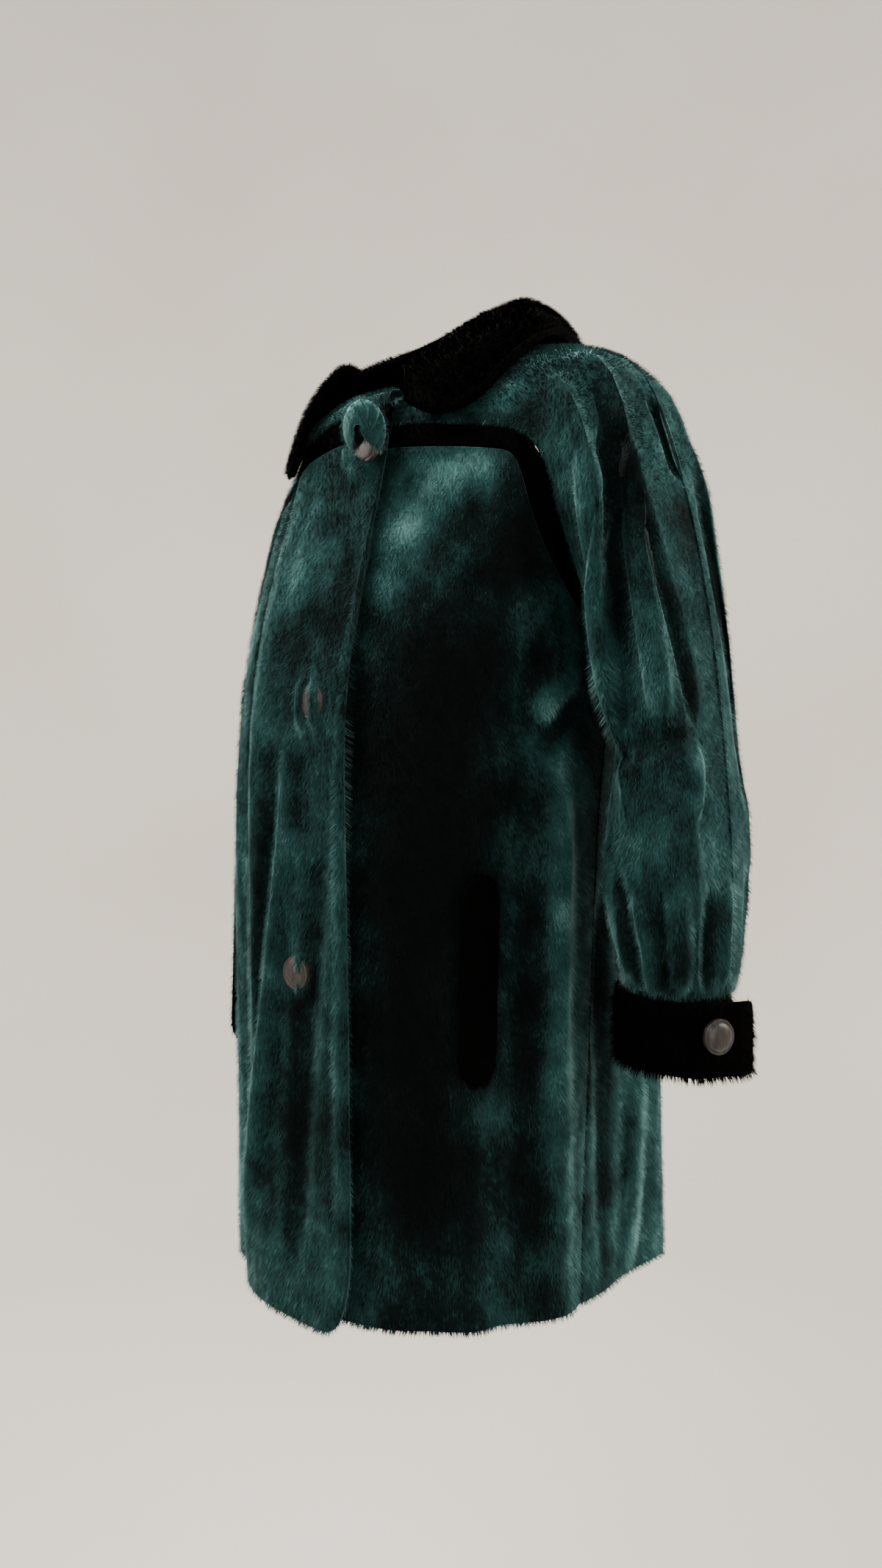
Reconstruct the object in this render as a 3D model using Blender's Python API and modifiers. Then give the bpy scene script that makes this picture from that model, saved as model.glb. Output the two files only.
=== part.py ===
"""A worn three-quarter length coat of sheared fur, modelled in metres with +Z up.

The front faces -Y and the wearer's left side is +X. The origin is where the
wearer's shoulders hold the coat up: on the body's middle line, at shoulder
height. Every piece that a furrier would cut is its own closed wall: two fronts,
a back, a yoke cut in one with each sleeve (a front and a back half), an inset
strip below each front yoke, a collar, two cuffs and two pocket welts. The walls
are as thick as the pelt with its standing pile. Seams are left a hair apart.
"""

import math
from collections import namedtuple

import bmesh
import bpy
import numpy as np
from mathutils import Matrix, Vector
from mathutils.bvhtree import BVHTree

# Driving dimensions
WALL = 0.007  # pelt, backing and sheared pile together
SEAM_GAP = 0.0003
LAYER_GAP = 0.0010  # between a piece that lies on a panel and the panel
ARC_POWER = 2.6  # 2 gives oval body rings, more gives squarer ones
NORMAL_SMOOTHINGS = 3  # passes that even out the directions of a wall's thickness
UNDERARM_PULL = 12.0  # how much the walls at the underarm point agree on straight down

# Front closure, right over left
UNDERLAP_X = -0.022  # free edge of the left front, hidden by the right front
OVERLAP_X = 0.062  # free edge of the right front, on the wearer's left
CORNER_CUT = 0.40  # how much of the yoke's depth its free top corner loses
OVERLAP_LIFT = 0.0105  # the right front rides over the left one
CLOSURE_RISE = 0.9  # near the neck the lift is upward too, as a share of itself
CLOSURE_RISE_FROM = -0.120
CLOSURE_RISE_RUN = 0.045
LIFT_FROM_X = -0.064
LIFT_FULL_X = -0.034
PLACKET_WIDTH = 0.045
PLACKET_PUFF = 0.004
CORNER_RADIUS = 0.045  # rounded lower corner of the right front
CORNER_SHARE = 0.999  # how much of a quarter circle it turns
CORNER_DROP = 0.010
CORNER_DROP_RUN = 0.16
RIGHT_HEM_RUN = 0.36  # length of the right front's hem

# Side seams, as angles from the middle of the front
SIDE_ANGLE_HEM = math.radians(82.0)
SIDE_ANGLE_TOP = math.radians(90.0)

# Body rings: outer surface, a row for each height
BodyRing = namedtuple("BodyRing", "height half_width front back centre_y")
BODY_RINGS = (
    BodyRing(-0.800, 0.171, 0.188, 0.182, -0.004),
    BodyRing(-0.700, 0.170, 0.189, 0.178, -0.004),
    BodyRing(-0.580, 0.170, 0.190, 0.172, -0.004),
    BodyRing(-0.450, 0.169, 0.194, 0.164, -0.004),
    BodyRing(-0.340, 0.168, 0.197, 0.158, -0.004),
    BodyRing(-0.250, 0.168, 0.190, 0.152, -0.004),
    BodyRing(-0.170, 0.167, 0.170, 0.146, -0.004),
    BodyRing(-0.110, 0.164, 0.150, 0.142, -0.004),
    BodyRing(-0.050, 0.160, 0.138, 0.136, -0.004),
)
HEM_HEIGHT = -0.777
BLEND_SPAN = 0.16  # height over which a panel turns from its rings to its top seam

# Folds of the body: soft ridges (height above 0) and troughs (below 0).
# Angles run from the middle of the front, positive towards the wearer's left.
BodyFold = namedtuple("BodyFold", "angle_top angle_hem top bottom half_width height")
BODY_FOLDS = (
    BodyFold(-3, -16, -0.12, -0.80, 0.034, 0.010),
    BodyFold(-16, -30, -0.20, -0.80, 0.026, -0.009),
    BodyFold(-27, -46, -0.26, -0.80, 0.034, 0.007),
    BodyFold(-62, -66, -0.36, -0.80, 0.030, -0.006),
    BodyFold(-78, -80, -0.30, -0.80, 0.034, 0.006),
    BodyFold(33, 36, -0.40, -0.80, 0.040, -0.004),
    BodyFold(62, 58, -0.30, -0.80, 0.030, -0.006),
    BodyFold(76, 74, -0.24, -0.80, 0.028, 0.009),
    BodyFold(96, 99, -0.28, -0.80, 0.028, -0.008),
    BodyFold(112, 118, -0.28, -0.80, 0.034, 0.008),
    BodyFold(136, 140, -0.34, -0.80, 0.034, -0.008),
    BodyFold(158, 162, -0.30, -0.80, 0.036, 0.006),
    BodyFold(184, 182, -0.36, -0.80, 0.040, -0.007),
    BodyFold(206, 202, -0.30, -0.80, 0.036, 0.007),
    BodyFold(228, 224, -0.34, -0.80, 0.034, -0.007),
    BodyFold(246, 242, -0.30, -0.80, 0.034, 0.008),
    BodyFold(266, 264, -0.28, -0.80, 0.028, -0.007),
)

# Yoke and sleeve in one. Each row is a section that runs from the top line
# (neckline, shoulder, outside of the arm) down to the seam line (front seam,
# armhole, underarm). A reach is how far the section sets off along its end
# directions. The seam turn goes from 0 (rising) to 1 (straight forward).
Section = namedtuple(
    "Section", "top_x top_y top_z seam_x seam_y seam_z top_reach seam_reach turn"
)
FRONT_SECTIONS = (
    Section(0.020, -0.124, -0.050, 0.020, -0.147, -0.074, 0.010, 0.010, 0.10),
    Section(0.044, -0.094, -0.030, 0.062, -0.143, -0.075, 0.018, 0.018, 0.10),
    Section(0.058, -0.044, 0.004, 0.098, -0.131, -0.078, 0.026, 0.024, 0.08),
    Section(0.066, 0.002, 0.020, 0.126, -0.118, -0.081, 0.024, 0.028, 0.08),
    Section(0.116, 0.004, 0.012, 0.150, -0.105, -0.087, 0.040, 0.040, 0.10),
    Section(0.163, 0.006, 0.000, 0.167, -0.096, -0.108, 0.054, 0.054, 0.22),
    Section(0.198, 0.006, -0.026, 0.175, -0.088, -0.150, 0.074, 0.068, 0.45),
    Section(0.222, 0.004, -0.080, 0.178, -0.058, -0.210, 0.094, 0.082, 0.72),
    Section(0.245, 0.002, -0.155, 0.177, -0.010, -0.268, 0.114, 0.102, 1.00),
    Section(0.263, -0.004, -0.235, 0.184, -0.012, -0.322, 0.114, 0.102, 1.00),
    Section(0.279, -0.014, -0.325, 0.186, -0.018, -0.385, 0.102, 0.098, 1.00),
    Section(0.289, -0.020, -0.410, 0.187, -0.022, -0.446, 0.094, 0.092, 1.00),
    Section(0.290, -0.020, -0.470, 0.189, -0.020, -0.480, 0.090, 0.088, 1.00),
    Section(0.286, -0.019, -0.507, 0.190, -0.019, -0.499, 0.080, 0.078, 1.00),
    Section(0.2815, -0.018, -0.5222, 0.1905, -0.018, -0.5148, 0.070, 0.070, 1.00),
)
BACK_SECTIONS = (
    Section(0.020, 0.066, 0.036, 0.025, 0.140, -0.088, 0.045, 0.080, 0.04),
    Section(0.040, 0.058, 0.033, 0.065, 0.138, -0.088, 0.050, 0.080, 0.04),
    Section(0.058, 0.036, 0.027, 0.098, 0.133, -0.089, 0.055, 0.078, 0.04),
    Section(0.066, 0.002, 0.020, 0.126, 0.123, -0.092, 0.070, 0.072, 0.06),
    Section(0.116, 0.004, 0.012, 0.149, 0.109, -0.100, 0.066, 0.072, 0.10),
    Section(0.163, 0.006, 0.000, 0.163, 0.093, -0.124, 0.062, 0.076, 0.22),
    Section(0.198, 0.006, -0.026, 0.171, 0.072, -0.162, 0.058, 0.076, 0.45),
    Section(0.222, 0.004, -0.080, 0.176, 0.038, -0.214, 0.062, 0.072, 0.72),
    Section(0.245, 0.002, -0.155, 0.177, -0.010, -0.268, 0.070, 0.076, 1.00),
    Section(0.263, -0.004, -0.235, 0.184, -0.012, -0.322, 0.074, 0.078, 1.00),
    Section(0.279, -0.014, -0.325, 0.186, -0.018, -0.385, 0.078, 0.080, 1.00),
    Section(0.289, -0.020, -0.410, 0.187, -0.022, -0.446, 0.080, 0.082, 1.00),
    Section(0.290, -0.020, -0.470, 0.189, -0.020, -0.480, 0.080, 0.080, 1.00),
    Section(0.286, -0.019, -0.507, 0.190, -0.019, -0.499, 0.076, 0.076, 1.00),
    Section(0.2815, -0.018, -0.5222, 0.1905, -0.018, -0.5148, 0.070, 0.070, 1.00),
)
NECK_POINT = 3  # row of the neck end of the shoulder
UNDERARM = 8  # row where the sleeve closes into a tube
STATIONS_PER_ROW = 2
CROSS_STEPS = 10
SLEEVE_LEAN = 0.40  # how far a section leans away from the body at its seam line
RIGHT_REACH = 0.58  # the right sleeve is less full at its front than the left one
RIGHT_REACH_FROM = 1.5  # section row where it starts to be less full
RIGHT_REACH_RUN = 4.0
RIGHT_REACH_OUT_RUN = 5.0  # rows over which it grows full again, down to the cuff

# Pleats of the sleeve, by section row and by how far across it they lie
PLEAT_INSET = 0.16  # share of a section over which they die out towards its seams
SleeveFold = namedtuple(
    "SleeveFold", "row_start row_end across_start across_end half_width height"
)
FRONT_PLEATS = (
    SleeveFold(4.6, 10.2, 0.64, 0.62, 0.130, 0.018),
    SleeveFold(5.0, 10.6, 0.44, 0.38, 0.090, -0.010),
    SleeveFold(4.8, 12.0, 0.32, 0.22, 0.110, 0.009),
    SleeveFold(6.0, 12.6, 0.14, 0.06, 0.080, -0.005),
    SleeveFold(9.6, 13.4, 0.80, 0.72, 0.110, 0.012),
)
BACK_PLEATS = (
    SleeveFold(5.2, 12.0, 0.22, 0.20, 0.090, 0.007),
    SleeveFold(5.4, 11.4, 0.42, 0.40, 0.080, -0.010),
    SleeveFold(6.0, 12.4, 0.62, 0.60, 0.110, 0.009),
)

# How far each arm swings back for each metre below its shoulder
ARM_SWING = {1: 0.0, -1: 0.20}
SWING_FROM = -0.05
SWING_DEPTH = 0.22

# How far the wearer's right side is set back for each metre from the middle
SET_BACK_HIGH = 0.26
SET_BACK_LOW = 0.13
SET_BACK_TOP = -0.10
SET_BACK_BOTTOM = -0.32
SET_BACK_FROM = -0.02

# The wearer's right shoulder hangs lower
SHOULDER_DROP = 0.023
SHOULDER_DROP_FROM = 0.03
SHOULDER_DROP_RUN = 0.10
SHOULDER_DROP_TOP = -0.05
SHOULDER_DROP_BOTTOM = -0.18

# Inset strip below the front yoke
STRIP_WIDTH = 0.020
STRIP_TIP_WIDTH = 0.0012
STRIP_TAPER_ROW = 6.0  # section row where it starts to narrow

# Collar: the roll line round the neck and the free edge of the fall
CollarRow = namedtuple("CollarRow", "roll_x roll_y roll_z edge_x edge_y edge_z foot_drop")
LEFT_WING = (
    CollarRow(0.000, 0.080, 0.088, 0.000, 0.138, 0.034, 0.036),
    CollarRow(0.034, 0.070, 0.086, 0.056, 0.118, 0.038, 0.036),
    CollarRow(0.052, 0.038, 0.076, 0.090, 0.066, 0.038, 0.034),
    CollarRow(0.056, -0.004, 0.056, 0.112, -0.002, 0.026, 0.024),
    CollarRow(0.050, -0.048, 0.028, 0.124, -0.068, -0.024, 0.014),
    CollarRow(0.046, -0.086, 0.002, 0.120, -0.124, -0.064, 0.008),
    CollarRow(0.050, -0.113, -0.014, 0.106, -0.152, -0.076, 0.004),
    CollarRow(0.060, -0.135, -0.030, 0.080, -0.158, -0.064, 0.003),
)
RIGHT_WING = (
    CollarRow(0.000, 0.080, 0.088, 0.000, 0.138, 0.034, 0.036),
    CollarRow(0.034, 0.070, 0.086, 0.056, 0.118, 0.038, 0.036),
    CollarRow(0.050, 0.038, 0.075, 0.088, 0.064, 0.036, 0.034),
    CollarRow(0.052, -0.004, 0.055, 0.102, -0.010, 0.020, 0.024),
    CollarRow(0.044, -0.046, 0.028, 0.094, -0.070, -0.022, 0.014),
    CollarRow(0.034, -0.086, 0.002, 0.080, -0.116, -0.060, 0.008),
    CollarRow(0.021, -0.110, -0.009, 0.054, -0.150, -0.086, 0.005),
    CollarRow(0.003, -0.124, -0.020, 0.016, -0.168, -0.094, 0.004),
)
COLLAR_THICKNESS = 0.010  # two pelts, back to back
COLLAR_CLEARANCE = 0.0035  # between the collar and what it lies on
BESIDE_LIMIT = 0.0020  # a point this far beside a sheet's edge isn't on the sheet
BODY_CORE = (0.0, 0.0, -0.25)  # every upper sheet faces away from here
COLLAR_ROLL_RADIUS = 0.0105
COLLAR_ROLL_TURNS = (180.0, 140.0, 100.0, 60.0)
COLLAR_FALL_STEPS = 4
COLLAR_CROWN = 0.10  # how far the fall swells, as a share of its width
COLLAR_SMOOTHINGS = 3

# Cuff: a band that wraps the wrist and ends in a buttoned tab
CUFF_CENTRE = (0.236, -0.018, -0.5195)
CUFF_HEIGHT = 0.056
CUFF_RADIUS_X = 0.0455
CUFF_RADIUS_Y = 0.0525
CUFF_START = math.radians(-36.0)
CUFF_SWEEP = math.radians(408.0)
CUFF_LAP_ANGLE = math.radians(48.0)
CUFF_LAP_RISE = math.radians(40.0)
CUFF_FLARE_ANGLE = math.radians(30.0)
CUFF_BUTTON_SHARE = 0.58
CUFF_BUTTON_ANGLE = math.radians(36.0)
CUFF_TAB_LIFT = 0.0095
CUFF_TAB_FLARE = 0.010
CUFF_TILT = 0.08  # how much lower the outer side hangs
CUFF_SWING_RUN = 0.220  # drop from the underarm to the middle of the wrist

# Pocket welts
WELT_ANGLE = {1: math.radians(51.0), -1: math.radians(49.0)}
WELT_LEAN = math.radians(-3.0)
WELT_WIDTH = 0.034
WELT_TOP = -0.430
WELT_BOTTOM = -0.588
WELT_THICKNESS = 0.009
WELT_END_SHARE = 0.35  # width of the very end against the full width

# Rolled top corner of the right front
ROLL_CENTRE = (0.0655, -0.187, -0.090)
ROLL_LENGTH = 0.036
ROLL_RADIUS = 0.0185
ROLL_START = math.radians(-140.0)
ROLL_SWEEP = math.radians(280.0)
ROLL_AXIS = (0.42, -0.86, -0.28)
ROLL_WALL = 0.0055  # the pelt is pressed thinner where it rolls so tightly
ROLL_END_FALL = 0.84  # how nearly the roll's two ends close
ROLL_TALLNESS = 1.32

# Buttons
BUTTON_RADIUS = 0.0130
BUTTON_HEIGHT = 0.0050
BUTTON_STEPS = 16
BUTTON_STAND_OFF = 0.0018
BUTTON_PROFILE = (  # radius and height from the rim's top, as shares of the button's
    (0.0, 1.0),
    (0.55, 0.92),
    (0.84, 0.72),
    (0.94, 0.80),
    (1.0, 0.55),
    (0.90, 0.0),
    (0.0, 0.0),
)
ButtonPlace = namedtuple("ButtonPlace", "name x height")
FRONT_BUTTONS = (
    ButtonPlace("button_top", 0.046, -0.098),
    ButtonPlace("button_middle", 0.032, -0.298),
    ButtonPlace("button_hip", 0.012, -0.508),
)

NECK_SPAN = 0.174  # half-width of the oval on which the front neckline lies
CHEST_DEPTH = 0.140
CHEST_SLOPE = 0.35  # how much the upper chest faces up
LEAD_STEP = 0.025  # spacing of the sections between a free edge and the tables
SLOPE_STEP = 0.05  # share of a grid's cell over which its slopes are measured
NEAREST_ROUNDS = 12  # how often the nearest place on a grid is bettered
SHARP_ANGLE = math.radians(50.0)

# Grid sizes
BODY_ROWS = 15
STRIP_ROWS = 2
COLLAR_STEPS = 3  # per collar row
CUFF_ROWS = 3
CUFF_STEPS = 30
WELT_ROWS = 12
WELT_COLUMNS = 4
ROLL_ROWS = 6
ROLL_STEPS = 15

Finish = namedtuple("Finish", "colour roughness")
GREEN_FUR = Finish((0.012, 0.075, 0.066), 0.85)
BLACK_FUR = Finish((0.006, 0.006, 0.007), 0.85)
DARK_HORN = Finish((0.035, 0.030, 0.028), 0.25)


def clear_scene():
    """Remove every object that the file starts with."""
    for item in list(bpy.data.objects):
        bpy.data.objects.remove(item, do_unlink=True)


def make_material(name, finish):
    """A plain finish for one sub-part."""
    material = bpy.data.materials.new(name)
    material.use_nodes = True
    shader = material.node_tree.nodes["Principled BSDF"]
    shader.inputs["Base Color"].default_value = (*finish.colour, 1.0)
    shader.inputs["Roughness"].default_value = finish.roughness
    shader.inputs["Metallic"].default_value = 0.0
    return material


def smooth_step(value):
    """0 below 0, 1 above 1, an even S between."""
    value = min(max(value, 0.0), 1.0)
    return value * value * (3.0 - 2.0 * value)


def smooth_steps(values):
    """The same S for an array of values."""
    values = np.clip(values, 0.0, 1.0)
    return values * values * (3.0 - 2.0 * values)


def bump(distance):
    """A soft ridge: 1 at the crest, 0 from a distance of 1 on."""
    if abs(distance) >= 1.0:
        return 0.0
    return 0.5 + 0.5 * math.cos(math.pi * distance)


def spline_rows(rows, position, breaks=()):
    """Read a table of rows at a fractional row number, along a smooth curve
    that starts anew at each break."""
    last = len(rows) - 1
    index = min(max(int(math.floor(position)), 0), last - 1)
    part = position - index
    values = [np.array(rows[min(max(index + k, 0), last)], float) for k in (-1, 0, 1, 2)]
    before, start, end, after = values
    if index == 0 or index in breaks:
        before = 2.0 * start - end
    if index + 1 == last:
        after = 2.0 * end - start
    pull_in = (end - before) / 2.0
    pull_out = (after - start) / 2.0
    rest = 1.0 - part
    ease = part * part * (3.0 - 2.0 * part)
    return start + (end - start) * ease + (pull_in * rest - pull_out * part) * part * rest


def ring_at(height):
    """The body ring at a height, between the rows of its table."""
    heights = [row.height for row in BODY_RINGS]
    position = float(np.interp(height, heights, range(len(heights))))
    return BodyRing(*spline_rows(BODY_RINGS, position))


def signed_power(value, power):
    """A power that keeps the sign."""
    return math.copysign(abs(value) ** power, value)


def body_fold_height(angle, height, reach):
    """How far the folds lift the body here, for a ring of this reach."""
    lift = 0.0
    for fold in BODY_FOLDS:
        down = (fold.top - height) / (fold.top - fold.bottom)
        if down <= 0.0:
            continue
        middle = math.radians(fold.angle_top + (fold.angle_hem - fold.angle_top) * down)
        away = math.remainder(angle - middle, 2.0 * math.pi) * reach / fold.half_width
        lift += fold.height * bump(away) * smooth_step(down * 3.0)
    return lift


def body_point(angle, height):
    """The outer surface of the body at an angle from the middle of the front."""
    ring = ring_at(height)
    depth = ring.front if math.cos(angle) > 0.0 else ring.back
    power = 2.0 / ARC_POWER
    outward = np.array((math.sin(angle), -math.cos(angle), 0.0))
    point = np.array(
        (
            ring.half_width * signed_power(math.sin(angle), power),
            ring.centre_y - depth * signed_power(math.cos(angle), power),
            height,
        )
    )
    return point + outward * body_fold_height(angle, height, ring.half_width)


def angle_of_x(x, height):
    """The angle at which the front of the body has this x."""
    ring = ring_at(height)
    return math.asin(signed_power(x / ring.half_width, ARC_POWER / 2.0))


def closure_lift(x):
    """How far the right front stands forward of its own rings at this x."""
    share = (x - LIFT_FROM_X) / (LIFT_FULL_X - LIFT_FROM_X)
    puff = smooth_step(1.0 - (OVERLAP_X - x) / PLACKET_WIDTH)
    return OVERLAP_LIFT * smooth_step(share) + PLACKET_PUFF * puff


def section_point(sections, position, breaks, across, forward):
    """A point of the yoke and sleeve: 0 on the top line, 1 on the seam line."""
    row = Section(*spline_rows(sections, position, breaks))
    top = np.array((row.top_x, row.top_y, row.top_z))
    seam = np.array((row.seam_x, row.seam_y, row.seam_z))
    quarter = math.radians(90.0) * row.turn
    leave = np.array((0.0, forward, 0.0))
    aside = 0.5 * math.sin(2.0 * quarter) + SLEEVE_LEAN * math.sin(quarter) ** 2
    rise = unit(np.array((aside, forward * math.sin(quarter), math.cos(quarter))))
    top_handle = top + leave * row.top_reach
    seam_handle = seam + rise * row.seam_reach
    rest = 1.0 - across
    return (
        top * rest**3
        + top_handle * 3.0 * rest**2 * across
        + seam_handle * 3.0 * rest * across**2
        + seam * across**3
    )


def pleat_height(pleats, row, across):
    """The height of all pleats at a place on a sleeve, nothing at its seams."""
    height = 0.0
    for pleat in pleats:
        share = (row - pleat.row_start) / (pleat.row_end - pleat.row_start)
        if 0.0 < share < 1.0:
            centre = pleat.across_start + (pleat.across_end - pleat.across_start) * share
            fade = math.sin(math.pi * share) ** 0.5
            height += pleat.height * fade * bump((across - centre) / pleat.half_width)
    inset = min(across, 1.0 - across) / PLEAT_INSET
    return height * smooth_step(inset)


def grid_normals(grid):
    """Unit normals of a grid of points, from its neighbours."""
    along = np.gradient(grid, axis=0)
    across = np.gradient(grid, axis=1)
    normals = np.cross(along, across)
    lengths = np.linalg.norm(normals, axis=2, keepdims=True)
    return normals / np.maximum(lengths, 1e-9)


def smoothed(normals, passes):
    """A grid of directions, each evened out with its neighbours."""
    normals = normals.copy()
    for _ in range(passes):
        around = normals[:-2, 1:-1] + normals[2:, 1:-1] + normals[1:-1, :-2] + normals[1:-1, 2:]
        normals[1:-1, 1:-1] = unit(normals[1:-1, 1:-1] + around)
    return normals


class Sheet:
    """A grid of outer points and the outward direction at each of them."""

    def __init__(self, outer, outward_sign):
        self.outer = outer
        self.normals = smoothed(grid_normals(outer) * outward_sign, NORMAL_SMOOTHINGS)

    def parted(self):
        """The outer points, each edge pulled back by half of a seam's gap."""
        shifts = np.zeros_like(self.outer)
        turned = self.outer.transpose(1, 0, 2)
        turned_shifts = shifts.transpose(1, 0, 2)
        views = (
            (self.outer, shifts),
            (self.outer[::-1], shifts[::-1]),
            (turned, turned_shifts),
            (turned[::-1], turned_shifts[::-1]),
        )
        for points, moves in views:
            edge = points[0]
            tangent = unit(np.gradient(edge, axis=0))
            inward = points[1] - edge
            inward = inward - tangent * np.sum(inward * tangent, axis=1, keepdims=True)
            moves[0] += unit(inward) * SEAM_GAP / 2.0
        return self.outer + shifts


def unit(vectors):
    """Vectors of length 1 in the same directions."""
    lengths = np.linalg.norm(vectors, axis=-1, keepdims=True)
    return vectors / np.maximum(lengths, 1e-9)


def share_normals(*edges):
    """Give sheets that meet at a seam one direction for their walls."""
    shared = unit(np.sum([np.array(edge) for edge in edges], axis=0))
    for edge in edges:
        edge[...] = shared


def settle(points):
    """Set the wearer's right side back, and its shoulder lower."""
    settled = np.array(points)
    height = settled[..., 2].copy()
    high = smooth_steps((height - SET_BACK_BOTTOM) / (SET_BACK_TOP - SET_BACK_BOTTOM))
    amount = SET_BACK_LOW + (SET_BACK_HIGH - SET_BACK_LOW) * high
    settled[..., 1] += amount * np.maximum(SET_BACK_FROM - settled[..., 0], 0.0)
    out = smooth_steps((SHOULDER_DROP_FROM - settled[..., 0]) / SHOULDER_DROP_RUN)
    run = SHOULDER_DROP_TOP - SHOULDER_DROP_BOTTOM
    settled[..., 2] -= SHOULDER_DROP * out * smooth_steps((height - SHOULDER_DROP_BOTTOM) / run)
    return settled


def build_wall(name, outer, inner, finish, collection, turn_column=0):
    """Make the closed wall between two grids of points. The faces along a seam
    split alike on both of its sides, and mirrored before the turn column."""
    rows, columns = outer.shape[:2]
    shape = bmesh.new()
    near = [[shape.verts.new(point) for point in row] for row in settle(outer)]
    far = [[shape.verts.new(point) for point in row] for row in settle(inner)]
    for i in range(rows - 1):
        for j in range(columns - 1):
            corners = ((i, j), (i, j + 1), (i + 1, j + 1), (i + 1, j))
            shape.faces.new([near[a][b] for a, b in corners])
            shape.faces.new([far[a][b] for a, b in reversed(corners)])
    rims = (
        ([row[0] for row in near], [row[0] for row in far], 0),
        ([row[-1] for row in near], [row[-1] for row in far], 0),
        (near[0], far[0], turn_column),
        (near[-1], far[-1], turn_column),
    )
    for outside, inside, turn in rims:
        for k in range(len(outside) - 1):
            first, second = (k, k + 1) if k >= turn else (k + 1, k)
            shape.faces.new((outside[first], outside[second], inside[second]))
            shape.faces.new((outside[first], inside[second], inside[first]))
    bmesh.ops.recalc_face_normals(shape, faces=shape.faces[:])
    mesh = bpy.data.meshes.new(name)
    shape.to_mesh(mesh)
    shape.free()
    return add_object(name, mesh, finish, collection)


def add_object(name, mesh, finish, collection):
    """Put a mesh in the coat's collection, smooth but for its sharp edges."""
    mesh.shade_smooth()
    mesh.set_sharp_from_angle(angle=SHARP_ANGLE)
    mesh.materials.append(make_material(name + "_finish", finish))
    item = bpy.data.objects.new(name, mesh)
    collection.objects.link(item)
    return item


def sew_wall(name, sheet, finish, collection, turn_column=0):
    """A wall of the pelt's thickness, inward from a sheet's outer points."""
    outer = sheet.parted()
    inner = outer - sheet.normals * WALL
    build_wall(name, outer, inner, finish, collection, turn_column)


def lead_in(first, edge_x):
    """Sections from a free edge up to the first row of a table."""
    count = max(1, math.ceil((first.top_x - edge_x) / LEAD_STEP))
    added = []
    for k in range(count):
        x = edge_x + (first.top_x - edge_x) * k / count
        nearness = math.sqrt((NECK_SPAN**2 - x**2) / (NECK_SPAN**2 - first.top_x**2))
        seam_y = first.seam_y * nearness
        cut = CORNER_CUT * smooth_step(-x / OVERLAP_X)
        top_y = first.top_y * nearness * (1.0 - cut) + seam_y * cut
        top_z = first.top_z * (1.0 - cut) + first.seam_z * cut
        moved = first._replace(top_x=x, seam_x=x, top_y=top_y, seam_y=seam_y, top_z=top_z)
        added.append(moved)
    return tuple(added)


def swung(sections, swing):
    """Sections of a free arm, swung back from its underarm."""
    moved = []
    for row in sections:
        top_run = min(max(SWING_FROM - row.top_z, 0.0), SWING_DEPTH)
        seam_run = min(max(sections[0].seam_z - row.seam_z, 0.0), SWING_DEPTH)
        top_y = row.top_y + swing * top_run
        seam_y = row.seam_y + swing * seam_run
        moved.append(row._replace(top_y=top_y, seam_y=seam_y))
    return tuple(moved)


def less_full(sections):
    """Sections of a sleeve that bulges less than the table says."""
    flatter = []
    for k, row in enumerate(sections):
        share = smooth_step((k - RIGHT_REACH_FROM) / RIGHT_REACH_RUN)
        share = share * smooth_step((len(sections) - 1 - k) / RIGHT_REACH_OUT_RUN)
        factor = 1.0 + (RIGHT_REACH - 1.0) * share
        reaches = {"top_reach": row.top_reach * factor, "seam_reach": row.seam_reach * factor}
        flatter.append(row._replace(**reaches))
    return tuple(flatter)


class HalfSleeve:
    """The front or back half of a yoke and sleeve, told on the wearer's left.
    Forward is -1 for a front half and 1 for a back half."""

    def __init__(self, sections, pleats, edge_x, forward, swing):
        lead = lead_in(sections[0], edge_x)
        self.lead_rows = len(lead)
        rows = lead + sections[:UNDERARM] + swung(sections[UNDERARM:], swing)
        breaks = (self.lead_rows + NECK_POINT, self.lead_rows + UNDERARM)
        count = (len(rows) - 1) * STATIONS_PER_ROW + 1
        self.grid = np.zeros((count, CROSS_STEPS + 1, 3))
        for i in range(count):
            for j in range(CROSS_STEPS + 1):
                position = i / STATIONS_PER_ROW
                share = j / CROSS_STEPS
                self.grid[i, j] = section_point(rows, position, breaks, share, forward)
        normals = grid_normals(self.grid) * forward
        for i in range(count):
            row = i / STATIONS_PER_ROW - self.lead_rows
            for j in range(CROSS_STEPS + 1):
                lift = pleat_height(pleats, row, j / CROSS_STEPS)
                self.grid[i, j] += normals[i, j] * lift
        self.underarm = self.station(UNDERARM)
        self.neck_point = self.station(NECK_POINT)
        self.seam = self.grid[: self.underarm + 1, -1].copy()

    def station(self, row):
        """The grid row of a row of the table."""
        return (row + self.lead_rows) * STATIONS_PER_ROW

    def row_of(self, station):
        """The table's row of a grid row."""
        return station / STATIONS_PER_ROW - self.lead_rows


def strip_grid(half):
    """The inset strip: rows from its lower line up to the yoke's seam."""
    tangents = unit(np.gradient(half.seam, axis=0))
    grid = np.zeros((STRIP_ROWS + 1, len(half.seam), 3))
    for k, point in enumerate(half.seam):
        left = (UNDERARM - half.row_of(k)) / (UNDERARM - STRIP_TAPER_ROW)
        width = STRIP_TIP_WIDTH + (STRIP_WIDTH - STRIP_TIP_WIDTH) * smooth_step(left)
        outward = unit(np.array((point[0] / NECK_SPAN, point[1] / CHEST_DEPTH, CHEST_SLOPE)))
        down = unit(np.cross(tangents[k], outward))
        for r in range(STRIP_ROWS + 1):
            grid[r, k] = point + down * width * (1.0 - r / STRIP_ROWS)
    return grid


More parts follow.
